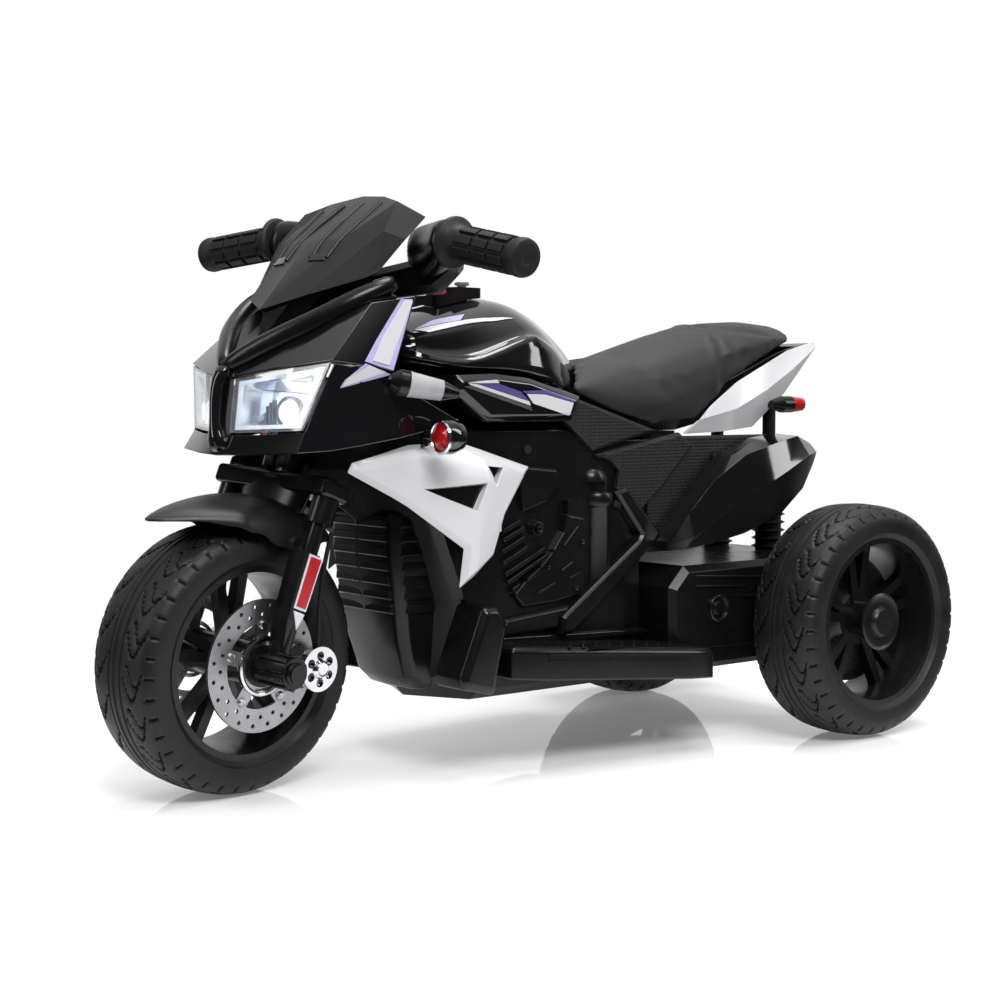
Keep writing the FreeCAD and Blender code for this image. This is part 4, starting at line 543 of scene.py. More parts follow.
def ovalEdges(bm, centre, turn, wide, tall, steps):
    place = Matrix.Translation(Vector(centre) / 1000) @ turn @ Matrix.Diagonal((wide / 1000, tall / 1000, 1, 1))
    ring = bmesh.ops.create_circle(bm, segments=steps, radius=1.0, matrix=place)["verts"]
    return list({edge for vert in ring for edge in vert.link_edges})


def lofted(bm, sections, steps):  # ovals across a path
    edges = []
    for i, (centre, wide, tall) in enumerate(sections):
        before, after = sections[max(i - 1, 0)][0], sections[min(i + 1, len(sections) - 1)][0]
        along = (Vector(after) - Vector(before)).normalized()
        side = along.cross(Vector((0, 0, 1))).normalized()
        turn = Matrix((side, side.cross(along) * -1, along)).transposed().to_4x4()
        edges += ovalEdges(bm, centre, turn, wide, tall, steps)
    skinned(bm, edges)


def stacked(bm, levels, steps):  # level ovals one above the other
    skinned(bm, [edge for centre, long, wide in levels for edge in ovalEdges(bm, centre, Matrix(), long, wide, steps)])


# every CAD piece gets its finish
# the indicator lenses take the clear lens with painted sheen
repainted = {"front_axle": "satin_black", "screws": "rubber_black", "front_indicator_lenses": "pearl_lens"}
for name, node in cadNodes.items():
    node.data.materials.clear()
    node.data.materials.append(finishes[repainted.get(name, slotOf[name])])
print("CAD pieces painted")

# hard mouldings: a copy with softened edges stands for each
mouldings = {
    "body_shell_left": {"finish": "satin_black", "edge": 0.0030},
    "body_shell_right": {"finish": "satin_black", "edge": 0.0030},
    "headlight_chin": {"finish": "gloss_black", "edge": 0.0014},
    "front_cowl": {"finish": "gloss_black", "edge": 0.0014},
    "hood_beam": {"finish": "satin_black", "edge": 0.0030, "edgeSteps": 3, "edgeFrom": 18},
    "tank_strakes": {"finish": "gloss_black", "edge": 0.0016},
    "windscreen": {"finish": "matte_black", "edge": 0.0032, "edgeSteps": 3, "edgeFrom": 12},
    "side_covers": {"finish": "dotted_black", "edge": 0.0012},
    "frame_braces": {"finish": "satin_black", "edge": 0.0022},
    "leg_shields": {"finish": "satin_black", "edge": 0.0022},
    "footboard_left": {"finish": "satin_black", "edge": 0.0018},
    "footboard_right": {"finish": "satin_black", "edge": 0.0018},
    "axle_housing": {"finish": "satin_black", "edge": 0.0028},
    "axle_housing_lid": {"finish": "satin_black", "edge": 0.0010},
    "tail_cowls": {"finish": "white", "edge": 0.0018},
    "seat_frame": {"finish": "satin_black", "edge": 0.0018},
    "front_rim": {"finish": "rim", "edge": 0.0009},
    "rear_rim_left": {"finish": "rim", "edge": 0.0009},
    "rear_rim_right": {"finish": "rim", "edge": 0.0009},
    "fork_crown": {"finish": "satin_black", "edge": 0.0012},
    "handlebar": {"finish": "satin_black", "edge": 0.0010},
    "accelerator_pedal": {"finish": "rubber_black", "edge": 0.0012},
    "direction_switch": {"finish": "grey_button", "edge": 0.0006},
    "start_button": {"finish": "red_button", "edge": 0.0009},
    "horn_button": {"finish": "grey_button", "edge": 0.0009},
    "headlight_lenses": {"finish": "clear_lens", "edge": 0.0006},
    "headlight_reflectors": {"finish": "lit_chrome", "edge": 0.0006},
    "battery": {"finish": "inner_plastic", "edge": 0.0020},
    "gearbox_case": {"finish": "inner_plastic", "edge": 0.0010},
}
for name, look in mouldings.items():
    standIn(mergedCopy(name), name, **look)
print("mouldings dressed:", len(dressed))

# tank: facets become curves between kept creases
tankLook = {"joinFlat": 0.8, "joinShape": 3.1, "foldFrom": 40, "hold": 0.62, "rounds": 2}
joining = {"angle_face_threshold": tankLook["joinFlat"], "angle_shape_threshold": tankLook["joinShape"]}
bm = mergedCopy("tank_cover")
bmesh.ops.join_triangles(bm, faces=bm.faces, **joining)
creases = bm.edges.layers.float.new("crease_edge")
for edge in bm.edges:
    if edge.calc_face_angle(0.0) > math.radians(tankLook["foldFrom"]):
        edge[creases] = tankLook["hold"]
standIn(bm, "tank_cover", "gloss_black", rounds=tankLook["rounds"])

# dash: a pale top plate on a dark surround
dashLook = {"edge": 0.0010, "topFrom": 0.75, "topAbove": 0.4005}
bm = mergedCopy("dash_panel")
for face in bm.faces:
    face.normal_update()
    if face.normal.z > dashLook["topFrom"] and face.calc_center_median().z > dashLook["topAbove"]:
        face.material_index = 1
standIn(bm, "dash_panel", ["satin_black", "dash"], edge=dashLook["edge"])
print("tank and dash dressed")

# tyres: the tread is cut into the rubber around each wheel's own axle
tread = {
    "cuts": [  # sipes, hooks and shoulder slots, each from and to a distance off the middle
        {"count": 20.0, "from": 0.0095, "to": 0.0290, "width": 0.044, "sway": 0.30, "rate": 240.0},
        {"count": 20.0, "from": 0.0130, "to": 0.0300, "width": 0.038, "sway": -0.22, "rate": 330.0, "offset": 0.5},
        {"count": 40.0, "from": 0.0315, "to": 0.0368, "width": 0.070, "slant": 6.0},
    ],
    "stagger": 0.25, "deep": 0.0016, "deepFrom": 0.0985,
    "bump": 0.9, "bumpDeep": 0.0012, "bumpFrom": 0.0960,
}
# rubber: wear is a random mottle; the cut colour and the tone and shine lowered in the cuts are painted shade in the
# tread grooves
rubberLook = {
    "cut": (0.002, 0.002, 0.002), "dark": (0.0045, 0.0045, 0.0048), "light": (0.0095, 0.0095, 0.010),
    "rough": (0.42, 0.60), "shine": 0.34, "grooveShadeShine": 0.75, "grooveShadeTone": 0.5, "stops": (0.05, 0.32, 0.7),
    "wear": 34.0, "wearRough": 0.65, "grain": 800.0, "grainBump": 0.2, "grainDepth": 0.0004,
}
tyreShape = {
    "steps": 480,
    "wall": [(0.0770, 0.0300), (0.0795, 0.0335), (0.0830, 0.0352), (0.0842, 0.0372), (0.0920, 0.0384),
             (0.0975, 0.0380)],
    "crown": [(0.1010, 0.0366), (0.1040, 0.0338), (0.1064, 0.0296), (0.1082, 0.0236), (0.1092, 0.0160),
              (0.1096, 0.0084)],
    "middle": [(0.1084, 0.0078), (0.1084, 0.0064), (0.1098, 0.0058), (0.1100, 0.0022), (0.1090, 0.0018)],
    "rows": 4,
    "inner": [(0.0830, 0.0180), (0.0830, -0.0180)],
}


def treadRubber(name, place):
    tree, shader, coords = startFinish(name, {"IOR": 1.5})
    centred = {"Vector": coords, "Location": place.to_translation(), "Rotation": place.to_euler()}
    spot = addNode(tree, "Mapping", {"vector_type": "TEXTURE", **centred}).outputs["Vector"]
    axes = addNode(tree, "SeparateXYZ", {0: spot}).outputs
    turn = calc(tree, "DIVIDE", calc(tree, "ARCTAN2", axes["X"], axes["Z"]), 2 * math.pi)
    across = calc(tree, "ABSOLUTE", axes["Y"])
    stagger = calc(tree, "MULTIPLY", calc(tree, "SIGN", axes["Y"]), tread["stagger"])
    squares = [calc(tree, "POWER", axes[letter], 2.0) for letter in "XZ"]
    lines = None
    for cut in tread["cuts"]:
        if "sway" in cut:
            lean = calc(tree, "SINE", calc(tree, "MULTIPLY", across, cut["rate"]))
            lean = calc(tree, "MULTIPLY", lean, cut["sway"])
        else:
            lean = calc(tree, "MULTIPLY", across, cut["slant"])
        lean = calc(tree, "ADD", calc(tree, "MULTIPLY", turn, cut["count"]), lean)
        wrapped = calc(tree, "FRACT", calc(tree, "ADD", lean, cut.get("offset", stagger)))
        mark = calc(tree, "ABSOLUTE", calc(tree, "SUBTRACT", wrapped, 0.5))
        mark = calc(tree, "LESS_THAN", mark, cut["width"])
        inside = calc(tree, "GREATER_THAN", across, cut["from"])
        inside = calc(tree, "MULTIPLY", inside, calc(tree, "LESS_THAN", across, cut["to"]))
        mark = calc(tree, "MULTIPLY", mark, inside)
        lines = calc(tree, "MAXIMUM", lines, mark) if lines else mark
    radius = calc(tree, "SQRT", calc(tree, "ADD", *squares))
    lines = calc(tree, "MULTIPLY", lines, calc(tree, "GREATER_THAN", radius, tread["bumpFrom"]))
    wear = noise(tree, coords, rubberLook["wear"], 6.0, rubberLook["wearRough"])
    # the grooves are darkened and lose their shine: painted shade in the cuts, on top of the real cut geometry and bump
    tone = calc(tree, "SUBTRACT", wear, calc(tree, "MULTIPLY", lines, rubberLook["grooveShadeTone"]))
    shine = calc(tree, "SUBTRACT", 1.0, calc(tree, "MULTIPLY", lines, rubberLook["grooveShadeShine"]))
    shades = [rubberLook[key] for key in ("cut", "dark", "light")]
    feed(tree, shader, {
        "Base Color": tint(tree, tone, list(zip(rubberLook["stops"], shades))),
        "Roughness": spread(tree, wear, *rubberLook["rough"]),
        "Specular IOR Level": calc(tree, "MULTIPLY", shine, rubberLook["shine"]),
    })
    grain = noise(tree, coords, rubberLook["grain"], 2.0)
    fine = relief(tree, shader, grain, rubberLook["grainBump"], rubberLook["grainDepth"])
    relief(tree, shader, calc(tree, "MULTIPLY", lines, -1.0), tread["bump"], tread["bumpDeep"], fine)


def treadCut(spot):
    turn, across = math.atan2(spot.x, spot.z) / (2 * math.pi), abs(spot.y)
    for cut in tread["cuts"]:
        lean = cut["sway"] * math.sin(across * cut["rate"]) if "sway" in cut else across * cut["slant"]
        offset = cut.get("offset", math.copysign(tread["stagger"], spot.y))
        wrapped = (turn * cut["count"] + lean + offset) % 1.0
        if cut["from"] < across < cut["to"] and abs(wrapped - 0.5) < cut["width"]:
            return tread["deep"]
    return 0.0


fineCrown = []
for first, last in zip(tyreShape["crown"], tyreShape["crown"][1:]):
    fineCrown += [tuple(Vector(first).lerp(Vector(last), i / tyreShape["rows"])) for i in range(tyreShape["rows"])]
outer = tyreShape["wall"] + fineCrown + tyreShape["crown"][-1:] + tyreShape["middle"]
tyreProfile = tyreShape["inner"][:1] + outer + [(r, -y) for r, y in outer[::-1]] + tyreShape["inner"][1:]
for wheel, node in (("front", "front_tyre"), ("left", "rear_tyre_left"), ("right", "rear_tyre_right")):
    treadRubber("tread_" + wheel, wheelPlace[wheel])
    bm = spunRing(tyreProfile, tyreShape["steps"], Matrix())
    for vert in bm.verts:
        reach = math.hypot(vert.co.x, vert.co.z)
        if reach > tread["deepFrom"]:
            left = 1 - treadCut(vert.co) / reach
            vert.co = Vector((vert.co.x * left, vert.co.y, vert.co.z * left))
    bm.transform(wheelPlace[wheel])
    standIn(bm, node, "tread_" + wheel, crease=40)
print("tyres spun")

# brake side of the front wheel: rivets on the disc tabs, ribbed axle clamps with end caps
rivetLook = {"count": 5, "reach": 0.0335, "radius": 0.0042, "tall": 0.0022, "discOut": 0.0451}
clampLook = {"ribs": 10, "reach": 0.0128, "from": 0.052, "to": 0.084, "wide": 0.0042, "tall": 0.0030}
endCap = {"out": 0.0855, "radius": 0.0095, "tall": 0.0050, "steps": 24}
bm = bmesh.new()
for side in (1, -1):
    for i in range(rivetLook["count"]):
        angle = math.radians(i * 360 / rivetLook["count"])
        spot = (math.sin(angle) * rivetLook["reach"], side * rivetLook["discOut"], math.cos(angle) * rivetLook["reach"])
        place = wheelPlace["front"] @ Matrix.Translation(spot) @ turnedOut(side)
        domed(bm, place, rivetLook["radius"], rivetLook["tall"])
keepPiece(bm, "disc_rivets", "steel", "front_wheel", edge=0.0003)
bm = bmesh.new()
ribSize = Matrix.Diagonal((clampLook["wide"], clampLook["to"] - clampLook["from"], clampLook["tall"], 1))
for side in (1, -1):
    middle = Matrix.Translation((0, side * (clampLook["from"] + clampLook["to"]) / 2, clampLook["reach"]))
    for i in range(clampLook["ribs"]):
        angle = Matrix.Rotation(math.radians(i * 360 / clampLook["ribs"]), 4, "Y")
        bmesh.ops.create_cube(bm, size=1.0, matrix=wheelPlace["front"] @ angle @ middle @ ribSize)
    place = wheelPlace["front"] @ Matrix.Translation((0, side * endCap["out"], 0)) @ turnedOut(side)
    domed(bm, place, endCap["radius"], endCap["tall"], endCap["steps"])
keepPiece(bm, "axle_clamp_ribs", "satin_black", "steering", edge=0.0008)

# brake caps: a centre boss, and a dark back that shows through the windows
capSpot = {"x": 0.252, "z": 0.105}
capStuds = {
    "brake_cap_bosses": {
        "out": 0.0645, "radius": 0.0082, "tall": 0.0040, "steps": 28, "finish": "chrome", "look": {"edge": 0.0006},
    },
    "brake_cap_backs": {
        "out": 0.0612, "radius": 0.0158, "tall": 0.0008, "steps": 40, "finish": "gloss_black", "look": {"crease": 30},
    },
}
for name, stud in capStuds.items():
    bm = bmesh.new()
    for side in (1, -1):
        place = steerTurn @ Matrix.Translation((capSpot["x"], side * stud["out"], capSpot["z"])) @ turnedOut(side)
        domed(bm, place, stud["radius"], stud["tall"], stud["steps"])
    keepPiece(bm, name, stud["finish"], "steering", **stud["look"])

# rear hub caps, the dished webs behind the rear spokes, and bright rings beside the front discs
hubCap = {
    "steps": 48, "face": 0.0292,
    "profile": [(0.0, 0.0000), (0.0255, 0.0000), (0.0268, 0.0012), (0.0268, 0.0030), (0.0245, 0.0040),
                (0.0225, 0.0030), (0.0150, 0.0030), (0.0138, 0.0062), (0.0120, 0.0078), (0.0, 0.0082)],
}
wheelDish = {
    "steps": 64,
    "profile": [(0.0160, 0.0030), (0.0240, 0.0030), (0.0300, -0.0020), (0.0560, -0.0060), (0.0600, -0.0050),
                (0.0605, -0.0080), (0.0560, -0.0090), (0.0290, -0.0050), (0.0160, -0.0010)],
}
hubRing = {
    "steps": 48,
    "profile": [(0.0205, 0.0440), (0.0240, 0.0440), (0.0246, 0.0456), (0.0240, 0.0476), (0.0222, 0.0484),
                (0.0205, 0.0476)],
}
for wheel, side in (("left", 1), ("right", -1)):
    profile = [(max(r, pole), side * (hubCap["face"] + y)) for r, y in hubCap["profile"]]
    bm = spunRing(profile, hubCap["steps"], wheelPlace[wheel])
    keepPiece(bm, "hub_cap_" + wheel, "rim", "rear_wheel_" + wheel, crease=30)
    bm = spunRing([(r, side * y) for r, y in wheelDish["profile"]], wheelDish["steps"], wheelPlace[wheel])
    keepPiece(bm, "wheel_dish_" + wheel, "rim", "rear_wheel_" + wheel, crease=35)
    bm = spunRing([(r, side * y) for r, y in hubRing["profile"]], hubRing["steps"], wheelPlace["front"])
    keepPiece(bm, "hub_ring_" + wheel, "chrome", "front_wheel", crease=30)
print("wheel details added")

# white side panels: the faces fall away along three folds, and the inside faces are painted satin black as shade
panelLook = {"face": 0.104, "faceDeep": 0.0095, "most": 0.0105, "insideFrom": -0.03, "edge": 0.0020, "edgeFrom": 40}
foldLines = [  # a fold starts at a point of the panel face and falls away along its direction (x, z)
    {"point": (0.150, 0.259), "away": (-0.05, 1.0), "slope": 0.42},
    {"point": (0.112, 0.226), "away": (-0.80, -0.10), "slope": 0.30},
    {"point": (0.200, 0.240), "away": (1.0, -0.30), "slope": 0.22},
]
folds = []
bm = mergedCopy("side_panels")
for fold in foldLines:
    point, away = [Vector((fold[key][0], 0, fold[key][1])) for key in ("point", "away")]
    folds.append((point, away.normalized(), fold["slope"]))
    everything = bm.verts[:] + bm.edges[:] + bm.faces[:]
    bmesh.ops.bisect_plane(bm, geom=everything, plane_co=point, plane_no=away.normalized(), dist=shaping["merge"])
for vert in bm.verts:
    if abs(vert.co.y) > panelLook["face"] - panelLook["faceDeep"]:
        drop = max([0.0] + [(vert.co - point).dot(away) * slope for point, away, slope in folds])
        vert.co.y -= math.copysign(min(drop, panelLook["most"]), vert.co.y)
# faces turned inward take satin black: painted shade on the inside of the white panel
for face in bm.faces:
    face.normal_update()
    if face.normal.y * face.calc_center_median().y < panelLook["insideFrom"]:
        face.material_index = 1
standIn(bm, "side_panels", ["white", "satin_black"], edge=panelLook["edge"], edgeFrom=panelLook["edgeFrom"])

# stripes laid on the strakes and the tank, the tank's white shoulder line partly a sticker and partly a painted
# highlight: a few corners in millimetres, cut finer, brought onto the surface
stripeLook = {"thick": 0.0004, "cuts": 5, "crease": 40, "lift": {"tank_strakes": 0.0005, "tank_cover": 0.0006}}
stripes = {
    "strake_wedge": {"on": "tank_strakes", "finish": "white", "corners": [
        (119.6, 92, 333.6), (88.0, 92, 336.2), (85.8, 92, 333.2), (108.6, 92, 333.0)]},
    "strake_violet": {"on": "tank_strakes", "finish": "violet", "corners": [
        (108.2, 92, 332.4), (85.6, 92, 332.5), (62.8, 92, 326.2), (53.4, 92, 318.4)]},
    "strake_line": {"on": "tank_strakes", "finish": "white", "corners": [
        (118.6, 92, 333.2), (108.6, 92, 332.2), (53.2, 92, 317.8), (51.6, 92, 314.2), (116.1, 92, 331.4)]},
    "strake_grey": {"on": "tank_strakes", "finish": "stripe_grey", "corners": [
        (123.0, 92, 330.2), (116.1, 92, 331.0), (51.4, 92, 313.6), (50.0, 92, 309.8)]},
    "strake_band": {"on": "tank_strakes", "finish": "violet", "corners": [
        (61.0, 92, 326.6), (34.0, 92, 327.6), (0.5, 92, 319.0), (2.8, 92, 316.8), (35.3, 92, 324.0),
        (56.3, 92, 324.6)]},
    "strake_white": {"on": "tank_strakes", "finish": "white", "corners": [
        (55.8, 92, 324.1), (35.3, 92, 323.6), (3.0, 92, 316.4), (7.5, 92, 305.0), (48.6, 92, 316.0)]},
    "tank_lilac": {"on": "tank_cover", "finish": "lilac", "corners": [
        (142.0, 49.5, 377.8), (119.0, 44.5, 386.4), (88.0, 47.5, 392.6), (98.2, 55.2, 387.0), (124.4, 52.0, 382.0)]},
    # white line along the tank's shoulder: partly a sticker, partly a painted highlight on the shoulder edge
    "tank_white": {"on": "tank_cover", "finish": "white", "corners": [
        (143.0, 50.5, 377.0), (124.4, 52.6, 381.3), (98.2, 55.9, 386.3), (62.0, 57.6, 391.6),
        (40.0, 58.8, 392.4), (62.0, 60.4, 388.6), (97.6, 60.4, 383.2), (134.6, 58.6, 375.4)]},
}
for name, plate in stripes.items():
    carrier = surfaceOf(plate["on"])
    bm = bmesh.new()
    face = flatFace(bm, [Vector(corner) / 1000 for corner in plate["corners"]])
    face.normal_update()
    facing = face.normal if face.normal.y + face.normal.z > 0 else -face.normal
    bmesh.ops.triangulate(bm, faces=[face])
    bmesh.ops.subdivide_edges(bm, edges=bm.edges, cuts=stripeLook["cuts"], use_grid_fill=True)
    for vert in bm.verts:
        spot, normal = carrier.find_nearest(vert.co)[:2]
        vert.co = spot + (normal if normal.dot(facing) > 0 else -normal) * stripeLook["lift"][plate["on"]]
    raiseFaces(bm, bm.faces[:], facing * stripeLook["thick"])
    bmesh.ops.recalc_face_normals(bm, faces=bm.faces)
    bothSides(bm)
    keepPiece(bm, name, plate["finish"], slot="white", crease=stripeLook["crease"])

# flat plates for the cowl: corners brought onto one plane a little proud of the face below
cowlSink = 0.0008
cowlPlates = {
    "cowl_stripe_rim": {"finish": "lilac", "lift": 0.0012, "corners": [
        (193, 99.5, 399.1), (181, 101.6, 400.2), (210.2, 112, 342.0), (236.6, 113.6, 349.6), (223.3, 108.9, 365.5)]},
    "cowl_stripe": {"finish": "white", "lift": 0.0017, "corners": [
        (190, 100, 398.6), (182.4, 101.6, 398.6), (214.0, 112.2, 346.0), (229.0, 112.8, 350.0), (214.9, 108.2, 370.8)]},
    "cowl_stripe_rim_low": {"finish": "lilac", "lift": 0.0012, "corners": [
        (211.3, 112, 339.5), (257.3, 109.4, 328.8), (253.4, 110.5, 335), (238.6, 113.0, 346.0), (236.0, 113.2, 348.0)]},
    "cowl_stripe_low": {"finish": "white", "lift": 0.0017, "corners": [
        (216.2, 112.2, 341.4), (256, 109.7, 330), (251, 111, 336.5), (232.5, 112.8, 346.6)]},
}
for name, plate in cowlPlates.items():
    points = [Vector(corner) / 1000 for corner in plate["corners"]]
    middle = sum(points, Vector()) / len(points)
    normal = Vector()
    for first, last in zip(points, points[1:] + points[:1]):
        normal += (first - middle).cross(last - middle)
    normal = normal.normalized() if normal.y > 0 else -normal.normalized()
    bm = bmesh.new()
    face = flatFace(bm, [point + normal * ((middle - point).dot(normal) - cowlSink) for point in points])
    raiseFaces(bm, [face], normal * (plate["lift"] + cowlSink))
    bmesh.ops.recalc_face_normals(bm, faces=bm.faces)
    bothSides(bm)
    keepPiece(bm, name, plate["finish"], slot="white", edge=0.0002)

# dark floor in the panel's recess
recessLook = {"low": 0.0974, "high": 0.0988, "corners": [(169.5, 246.0), (107.6, 248.5), (118.7, 229.2)]}
bm = bmesh.new()
face = flatFace(bm, [sidePoint(corner, recessLook["low"]) for corner in recessLook["corners"]])
raiseFaces(bm, [face], (0, recessLook["high"] - recessLook["low"], 0))
bmesh.ops.recalc_face_normals(bm, faces=bm.faces)
bothSides(bm)
keepPiece(bm, "panel_recess_floor", "gloss_black", edge=0.0002)
print("panels folded and stripes laid")

# engine block moulded into each side of the body: bars, plates with a sloped rim and studs
engineLook = {"side": 0.0715, "wallShare": 0.6, "edge": 0.0009, "edgeFrom": 20, "studSteps": 24}
engineBars = {
    "fins": {"out": 0.0, "wide": 0.0044, "tall": 0.0050, "taper": 0.25, "lines": [
        ((68, 206), (48, 214)), ((68, 198), (44, 208)), ((69, 188), (43, 200)), ((68, 178), (40, 191)),
        ((66, 168), (20, 189)), ((63, 161), (17, 183)), ((58, 154), (24, 170))]},
    "coverRim": {"out": 0.0, "wide": 0.0042, "tall": 0.0088, "taper": 0.45, "lines": [
        ((-3, 232), (-3, 218)), ((-3, 218), (1, 203)), ((1, 203), (14, 186)), ((14, 186), (29, 172)),
        ((29, 172), (45, 162)), ((45, 162), (58, 150))]},
    "strokes": {"out": 0.004, "wide": 0.0028, "tall": 0.0026, "taper": 0.25, "lines": [
        ((-17, 207), (0, 190)), ((-10, 175), (3, 168)), ((-18, 165), (-6, 161)), ((10, 158), (30, 150))]},
}
enginePlates = {
    "clutch": {"height": 0.0045, "rim": 0.0020, "corners": [
        (-3, 218), (1, 203), (14, 186), (29, 172), (45, 162), (56, 150), (46, 138), (8, 140), (-26, 146), (-26, 214)]},
    "head": {"height": 0.0060, "rim": 0.0022, "corners": [(52, 262), (8, 258), (4, 244), (20, 229), (46, 222)]},
    "ridge": {"height": 0.0070, "rim": 0.0026, "corners": [
        (74, 116), (66, 130), (-8, 137), (-30, 132), (-30, 122), (5, 117)]},
    "rail": {"height": 0.0050, "rim": 0.0014, "corners": [(86, 112), (72, 115), (-96, 109), (-110, 104), (86, 106)]},
}
engineStuds = [  # place (x, z), radius and height
    ((32, 207), 0.0078, 0.0090), ((32, 207), 0.0048, 0.0120), ((-21, 193), 0.0034, 0.0075),
    ((18, 172), 0.0028, 0.0072), ((-14, 152), 0.0034, 0.0070),
]
bm = bmesh.new()
for bars in engineBars.values():
    for ends in bars["lines"]:
        start, end = [sidePoint(spot, engineLook["side"] + bars["out"]) for spot in ends]
        beam(bm, start, end, (0, 1, 0), bars["wide"], bars["tall"], taper=bars["taper"])
for plate in enginePlates.values():
    flat = flatFace(bm, [sidePoint(corner, engineLook["side"]) for corner in plate["corners"]])
    flat.normal_update()
    if flat.normal.y < 0:
        bmesh.ops.reverse_faces(bm, faces=[flat])
    top = raiseFaces(bm, [flat], (0, plate["height"] * engineLook["wallShare"], 0))
    bmesh.ops.inset_region(bm, faces=top, thickness=plate["rim"], depth=plate["height"] * (1 - engineLook["wallShare"]))
for spot, radius, height in engineStuds:
    place = Matrix.Translation(sidePoint(spot, engineLook["side"])) @ turnedOut(1)
    domed(bm, place, radius, height, engineLook["studSteps"])
bothSides(bm)
keepPiece(bm, "engine_relief", "satin_black", edge=engineLook["edge"], edgeFrom=engineLook["edgeFrom"])

# upright tube with its collar, and the domed cap above it
tubeSteps = 32
engineTurned = {
    "engine_tubes": {"spot": (-0.047, 0.0660, 0.0), "crease": 40, "profile": [
        (0.0002, 0.150), (0.0140, 0.150), (0.0140, 0.222), (0.0152, 0.2235), (0.0164, 0.2255),
        (0.0164, 0.2335), (0.0150, 0.2355), (0.0112, 0.2365), (0.0112, 0.2460), (0.0002, 0.2465)]},
    "engine_caps": {"spot": (-0.041, 0.0640, 0.2460), "crease": 50, "profile": [
        (0.0165, 0.0), (0.0162, 0.0035), (0.0145, 0.0085), (0.0105, 0.0125), (0.0055, 0.0148), (0.0002, 0.0155)]},
}
for name, part in engineTurned.items():
    bm = spunCup(part["profile"], tubeSteps, Matrix.Translation(part["spot"]))
    bothSides(bm)
    keepPiece(bm, name, "satin_black", crease=part["crease"])
print("engine moulded")

# front mudguard: a domed blade over the tyre, drawn to a point ahead, with side skirts at the fork
guardLook = {
    "radius": 0.134, "half": 0.0462, "from": 55.0, "to": 125.0, "wall": 0.0022, "rows": 36, "columns": 20,
    "tip": 0.03, "tipLong": 27.0, "tipCurve": 0.72, "fall": 0.0135, "fallCurve": 2.4, "tipFall": 0.2,
    "lift": 0.0110, "liftFrom": 82.0, "liftCurve": 1.6, "skirtFrom": 0.62, "skirtCurve": 1.6,
    "skirt": [(55.0, 0.000), (66.0, 0.002), (76.0, 0.006), (86.0, 0.013), (98.0, 0.024), (108.0, 0.025), (118.0, 0.014),
              (125.0, 0.004)],
    "seat": {"spot": (-0.030, 0.0448, 0.0965), "radius": 0.0070, "tall": 0.0056},
}


def readCurve(points, place):
    for (low, first), (high, last) in zip(points, points[1:]):
        if place <= high:
            share = max(0.0, (place - low) / (high - low))
            return first + (last - first) * (3 - 2 * share) * share * share
    return points[-1][1]


def guardPoint(along, wide):
    first, last, liftFrom, skirtFrom = [guardLook[key] for key in ("from", "to", "liftFrom", "skirtFrom")]
    turn = first + (last - first) * along
    narrow = min(1.0, guardLook["tip"] + ((turn - first) / guardLook["tipLong"]) ** guardLook["tipCurve"])
    bow = math.sin(wide * math.pi / 2)
    fall = guardLook["fall"] * abs(bow) ** guardLook["fallCurve"]
    fall *= guardLook["tipFall"] + (1 - guardLook["tipFall"]) * narrow
    lift = guardLook["lift"] * max(0.0, (liftFrom - turn) / (liftFrom - first)) ** guardLook["liftCurve"]
    skirt = max(0.0, (abs(wide) - skirtFrom) / (1 - skirtFrom)) ** guardLook["skirtCurve"]
    reach = guardLook["radius"] - fall + lift - skirt * readCurve(guardLook["skirt"], turn)
    turn = math.radians(turn)
    return Vector((math.cos(turn) * reach, bow * guardLook["half"] * narrow, math.sin(turn) * reach))


bm = bmesh.new()
bmesh.ops.create_grid(bm, x_segments=guardLook["rows"], y_segments=guardLook["columns"], size=1.0)
for vert in bm.verts:
    vert.co = guardPoint((vert.co.x + 1) / 2, vert.co.y)
bmesh.ops.recalc_face_normals(bm, faces=bm.faces)
if sum(face.normal.z for face in bm.faces) < 0:
    bmesh.ops.reverse_faces(bm, faces=bm.faces)
bmesh.ops.solidify(bm, geom=bm.faces[:], thickness=guardLook["wall"])
for side in (1, -1):  # seats on the fork fairings
    x, y, z = guardLook["seat"]["spot"]
    place = Matrix.Translation((x, side * y, z)) @ turnedOut(side)
    domed(bm, place, guardLook["seat"]["radius"], guardLook["seat"]["tall"])
bm.transform(wheelPlace["front"])
standIn(bm, "front_mudguard", "matte_black", crease=50)

# nose of the body: a blunt shroud, level by level (height, front, half width)
noseLook = {
    "back": 0.116, "round": 0.008, "flank": 0.010, "brow": 0.003, "edge": 0.0030, "edgeSteps": 3,
    "levels": [(0.070, 0.136, 0.036), (0.082, 0.147, 0.042), (0.112, 0.156, 0.045), (0.150, 0.163, 0.048),
               (0.190, 0.168, 0.050), (0.222, 0.168, 0.050), (0.236, 0.158, 0.044)],
}
bm = bmesh.new()
loops = []
for z, front, half in noseLook["levels"]:
    corner, bend, flat = front - noseLook["flank"], front - noseLook["brow"], half - noseLook["round"]
    outline = [(noseLook["back"], -half), (corner, -half), (bend, -flat), (front, 0), (bend, flat), (corner, half),
               (noseLook["back"], half)]
    ring = [bm.verts.new((x, y, z)) for x, y in outline]
    loops += [bm.edges.new(pair) for pair in zip(ring, ring[1:] + ring[:1])]
skinned(bm, loops)
noseEdge = {"edge": noseLook["edge"], "edgeSteps": noseLook["edgeSteps"]}
dressed["nose_shroud"] = keepPiece(bm, "nose_shroud", "satin_black", **noseEdge)

